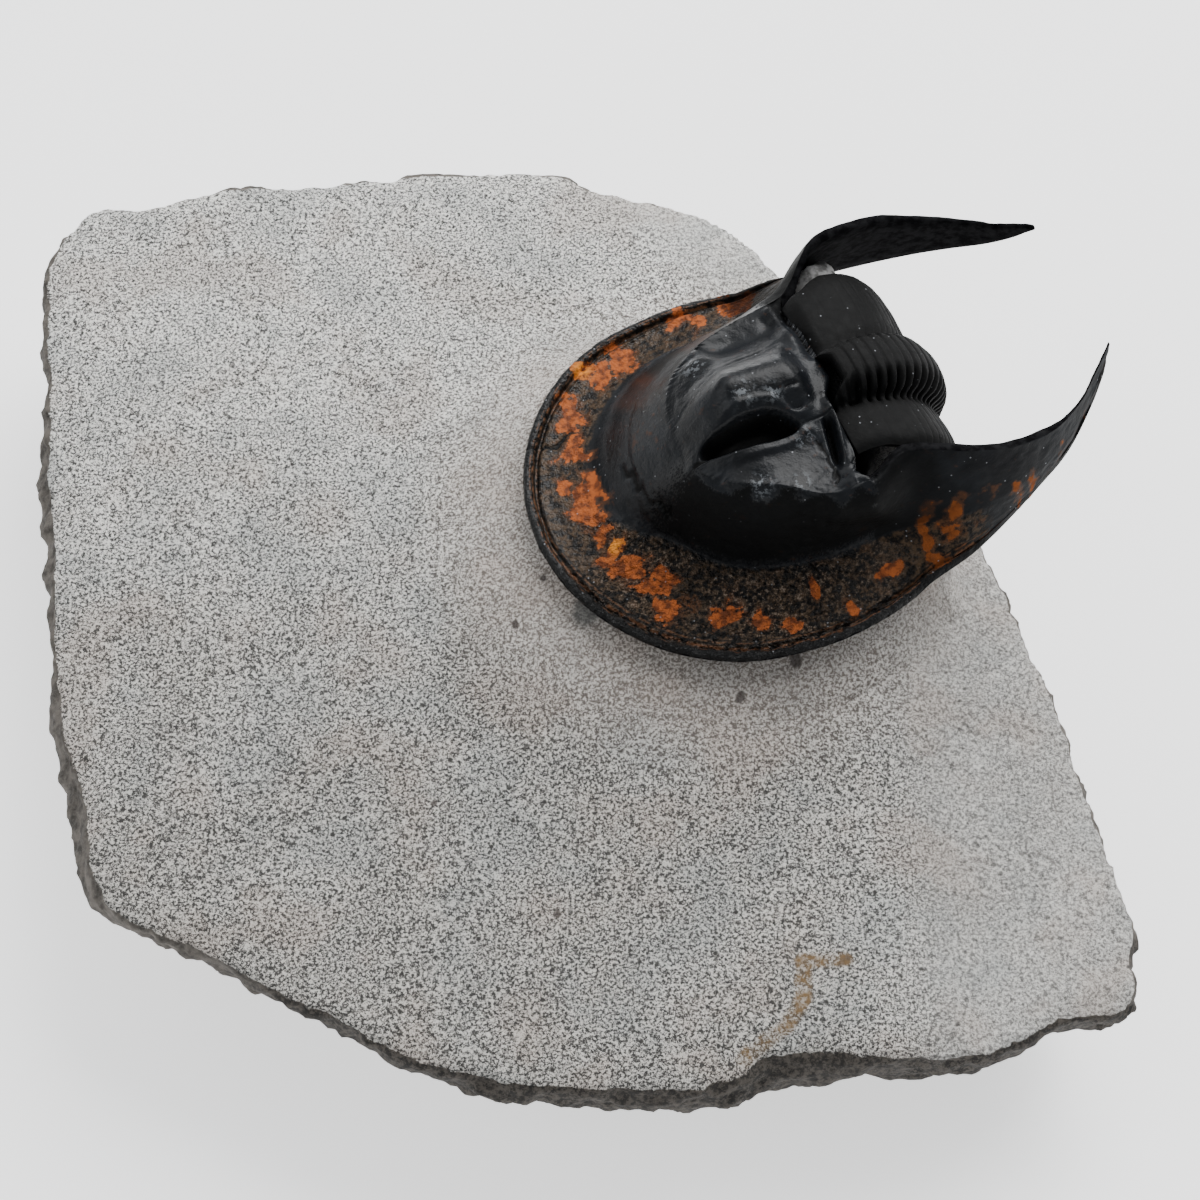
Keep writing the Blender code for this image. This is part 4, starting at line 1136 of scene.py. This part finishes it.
def rim_lined(shell, colour, speck, brim_here):
    """The dark roll of the rim, and the fine ridges and grooves that run beside it."""
    edge = shell.painted("inward") * RIM_BAND + (speck - 0.5) * 0.25
    colour = shell.mix(edge.step(0.95, 0.75), colour, (0.006, 0.006, 0.006))
    for at, strength in RIM_RIDGES:
        ridge = edge.step(at - 0.14, at) * edge.step(at + 0.14, at) * brim_here
        colour = shell.mix(ridge * speck.step(0.42, 0.55) * strength, colour, (0.15, 0.06, 0.026))
    for at in RIM_GROOVES:
        groove = edge.step(at - 0.16, at) * edge.step(at + 0.16, at) * brim_here
        colour = shell.mix(groove * 0.8, colour, JET)
    return colour


def rust_colour(shell, speck):
    """Orange in deep and pale grains, brightest in two blooms, and dim on the horns."""
    orange = shell.mix(speck.step(0.38, 0.62), (0.115, 0.030, 0.009), (0.37, 0.094, 0.022))
    orange = shell.mix(shell.painted("bright") * speck.step(0.4, 0.55), orange, (0.72, 0.26, 0.03))
    return shell.mix(shell.painted("dim") * 0.7, orange, (0.14, 0.045, 0.013))


# %% Shell materials
def shell_finish(name, gloss, roughness):
    """Fossil shell; gloss is the strength of its reflections."""
    shell = Finish(name)
    cloud, speck, fleck = shell.noise(4.0), shell.noise(0.6, 4.0), shell.noise(0.22, 2.0)
    brim_here, rust, crack = (shell.painted(mark) for mark in ("brim", "rust", "crack"))
    ragged = (speck - 0.5) * 1.1 + (cloud - 0.5) * 0.5
    rust_here, halo = (rust + ragged).step(0.44, 0.56), (rust + ragged).step(0.12, 0.42)
    black = shell.mix(cloud.step(0.35, 0.65), (0.004, 0.0045, 0.0055), (0.010, 0.0115, 0.014))
    brown = shell.mix(speck.step(0.38, 0.62), (0.007, 0.006, 0.0055), (0.062, 0.040, 0.024))
    colour = shell.mix((brim_here + (speck - 0.5) * 0.5).step(0.3, 0.75), black, brown)
    colour = shell.mix(halo * 0.7, colour, (0.085, 0.034, 0.014))
    colour = flecked(shell, colour, cloud, brim_here)
    colour = rim_lined(shell, colour, speck, brim_here)
    colour = shell.mix(rust_here, colour, rust_colour(shell, speck))
    # Black along the real cracks, and as painted shade in the slots and deep hollows.
    colour = shell.mix(crack.step(0.25, 0.7), colour, JET)
    # Pale specks all over the shell: dust, and painted glints.
    colour = shell.mix(shell.grains(0.40, 0.10, 0.2) * 0.6, colour, (0.3, 0.31, 0.33))
    # Painted shade on the right flank and at the roots of the horns.
    colour = shell.mix(shell.painted("dark") * 0.85, colour, (0.0015, 0.0015, 0.0014))
    dull = rust_here * 0.3 + shell.painted("rough") * 0.05 + (speck - 0.5) * 0.25 + crack * 0.4
    dull = dull + shell.painted("matt") * (MATT_ROUGHNESS - roughness)
    relief = shell.bump(speck, 0.05, shell.bump(fleck, 0.022))
    pits = shell.noise(0.38, 2.0, 0.7) * (shell.painted("pitted") + brim_here * 0.4)
    shell.set(Base_Color=colour, Roughness=dull + roughness, Normal=shell.bump(pits, 0.45, relief))
    shell.shader.inputs["Specular IOR Level"].default_value = gloss
    return shell


GLOSSY_ROUGHNESS, MATT_ROUGHNESS = 0.32, 0.62
shell = shell_finish("fossil_shell", 0.20, GLOSSY_ROUGHNESS)
matt_shell = shell_finish("matt_shell", 0.10, MATT_ROUGHNESS)

# A shaded copy of the shell, near black and almost without reflections, for the horns' inner faces
# and the hidden lining: painted shade.
inside = Finish("shell_inside_shaded")
streak = inside.noise(0.7, 3.0)
shade_black = inside.mix(streak.step(0.35, 0.65), (0.003, 0.003, 0.0035), (0.012, 0.012, 0.013))
inside.set(Base_Color=shade_black, Roughness=1.0, Normal=inside.bump(streak, 0.12))
inside.shader.inputs["Specular IOR Level"].default_value = 0.03
print("shell material:", len(shell.tree.nodes), "nodes")

# %% [markdown]
# ## The limestone's finish
#
# The cleared top is a pale warm grey, peppered with dark and light grains under half a millimetre
# across; painted shade darkens it towards the front and thickens its dark grains there. The broken
# sides are dark and brown, the side that faces the front is painted darker as shade, the hollow
# under the head is painted nearly black as shade, and a few stains, a rusty vein and hairline
# cracks give the surface its places.

# %% Limestone grain
SPOTS = [  # (a, l, radius) of dark stains, mm
    (13.6, 15.1, 0.42), (9.0, 15.7, 0.4), (-0.3, 1.4, 0.28), (-14.0, 13.6, 0.3),
    (-9.4, 25.0, 0.3), (7.6, 36.1, 0.45), (-3.4, 3.6, 0.25),
]
GREY_PATCH = (1.4, 5.4, 1.1)
VEIN = [(7.6, 36.1), (4.9, 35.1), (3.7, 37.6), (1.7, 38.9), (-2.0, 39.8)]
HAIRLINES = [(23.6, 33.9), (24.3, 34.9), (24.6, 35.9)], [(27.5, 28.8), (26.7, 31.0), (26.2, 33.0)]
VEIN_WIDTH, HAIRLINE_WIDTH = 1.0, 0.16   # mm

stone = Finish("grey_limestone")
cloud, tone, speck = stone.noise(9.0), stone.noise(8.0, 3.0), stone.noise(0.9, 4.0)
grit, sand = stone.noise(0.42, 3.0, 0.8), stone.noise(0.21, 3.0, 0.85)
shade = stone.painted("shade") + (cloud - 0.5) * 1.1


def tinted(colour):
    """The stone's broad warm and cool patches."""
    colour = stone.mix(tone.step(0.5, 0.64) * 0.32, colour, (0.45, 0.365, 0.31))
    return stone.mix(tone.step(0.5, 0.36) * 0.32, colour, (0.31, 0.335, 0.335))


base = tinted(stone.mix(shade, (0.51, 0.497, 0.472), (0.18, 0.173, 0.162)))
light = tinted(stone.mix(shade, (0.95, 0.935, 0.89), (0.62, 0.595, 0.55)))
grainy = 1 - stone.painted("calm") * 0.6
# More dark grains are scattered where the painted shade lies.
shaded_pepper = 0.35 + stone.painted("shade") * 0.6
top = base
for share, colour in (
    (grit.step(0.54, 0.62) * 0.35, light),
    (grit.step(0.47, 0.39) * 0.5, (0.09, 0.085, 0.08)),
    (sand.step(0.505, 0.55) * 0.85 * grainy, light),
    (sand.step(0.495, 0.45) * 0.92 * grainy, (0.025, 0.024, 0.023)),
    (stone.grains(0.75, 0.14, 0.3) * shaded_pepper, (0.03, 0.028, 0.026)),
    (stone.grains(0.42, 0.22, 0.36) * shaded_pepper, (0.05, 0.047, 0.045)),
    (stone.painted("apron") * 0.35, (0.40, 0.33, 0.285)),
):
    top = stone.mix(share, top, colour)
print("limestone grain:", len(stone.tree.nodes), "nodes")

# %% Limestone stains, vein and cracks
shaky = stone.wandering(0.25, 0.9)
marks = stone.spot(on_plan(*SPOTS[0][:2]), SPOTS[0][2], shaky)
for spot_a, spot_l, radius in SPOTS[1:]:
    marks = marks.most(stone.spot(on_plan(spot_a, spot_l), radius, shaky))
top = stone.mix(marks * 0.85, top, (0.045, 0.035, 0.032))
patch = stone.spot(on_plan(*GREY_PATCH[:2]), GREY_PATCH[2], shaky)
top = stone.mix(patch * 0.75, top, (0.09, 0.094, 0.09))
for start, end in zip(VEIN, VEIN[1:]):
    run = stone.stroke(on_plan(*start), on_plan(*end), VEIN_WIDTH, shaky)
    top = stone.mix(run * (0.3 + speck.step(0.42, 0.62) * 0.6), top, (0.155, 0.095, 0.04))
for line in HAIRLINES:
    for start, end in zip(line, line[1:]):
        run = stone.stroke(on_plan(*start), on_plan(*end), HAIRLINE_WIDTH, shaky)
        top = stone.mix(run * 0.5, top, (0.12, 0.11, 0.10))

# %% Limestone sides and hollows
side = stone.mix(speck.step(0.3, 0.7), (0.035, 0.031, 0.027), (0.13, 0.115, 0.10))
side = stone.mix(grit.step(0.45, 0.65) * 0.35, side, (0.20, 0.185, 0.165))
# Painted shade: the side facing the front is darker.
shaded_near_side = stone.mix(grit.step(0.4, 0.62), (0.005, 0.0045, 0.004), (0.07, 0.06, 0.05))
side = stone.mix(stone.painted("near") * 0.85, side, shaded_near_side)
broken_here = (stone.painted("broken") + (speck - 0.5) * 0.9).step(0.42, 0.62)
colour = stone.mix(broken_here, top, side)
web = stone.mix(speck.step(0.4, 0.6), (0.12, 0.118, 0.115), (0.36, 0.355, 0.35))
pale = stone.painted("pale")
colour = stone.mix(pale, colour, web)
# Painted shade under the head.
colour = stone.mix(stone.painted("shade_under_head") * (1 - pale), colour, (0.012, 0.012, 0.013))
relief = stone.bump(sand, 0.06, stone.bump(speck, 0.12))
stone.set(Base_Color=colour, Roughness=0.86 + (sand - 0.5) * 0.2, Normal=relief)
stone.shader.inputs["Specular IOR Level"].default_value = 0.35
print("limestone material:", len(stone.tree.nodes), "nodes")

# %% Floor
paper = Finish("pale_floor")
paper.set(Base_Color=(0.93, 0.93, 0.93), Roughness=0.9)
paper.set(Emission_Color=(1, 1, 1), Emission_Strength=1.1)
floor.data.materials.append(paper.material)
print("the floor is finished")

# %% [markdown]
# ## Putting the pieces in place
#
# Every piece rides on the one body, takes the place of its imported solid, and is given its
# material. On the head the glossy finish passes into the matt one face by face, more of them matt
# as the painted share grows, so no edge shows. The dressed fossil must stay the size it was made.

# %% Pieces
for piece, node, finish, slot in (
    (slab, "matrix", stone, "limestone"), (head, "cephalon", shell, "shell"),
    (thorax, "thorax", matt_shell, "shell"), (tail_shield, "pygidium", matt_shell, "shell"),
):
    piece.data.materials.clear()
    piece.data.materials.append(finish.material)
    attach(piece, "root")
    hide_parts(node)
    print(piece.name, "replaces", node)

# %% Inner and matt faces of the head
INNER_SLOT, MATT_SLOT = 1, 2
head.data.materials.append(inside.material)
head.data.materials.append(matt_shell.material)
# The inner faces take the shaded copy of the shell, as painted shade.
hidden = read_paint(head, "inner") > 0.3
chance = np.random.default_rng(7).random(len(head.data.polygons))
for face, least in zip(head.data.polygons, chance):
    corners = list(face.vertices)
    if hidden[corners].any():
        face.material_index = INNER_SLOT
    elif matt_share[corners].mean() > least:
        face.material_index = MATT_SLOT
print("inner faces touch", int(hidden.sum()), "points")
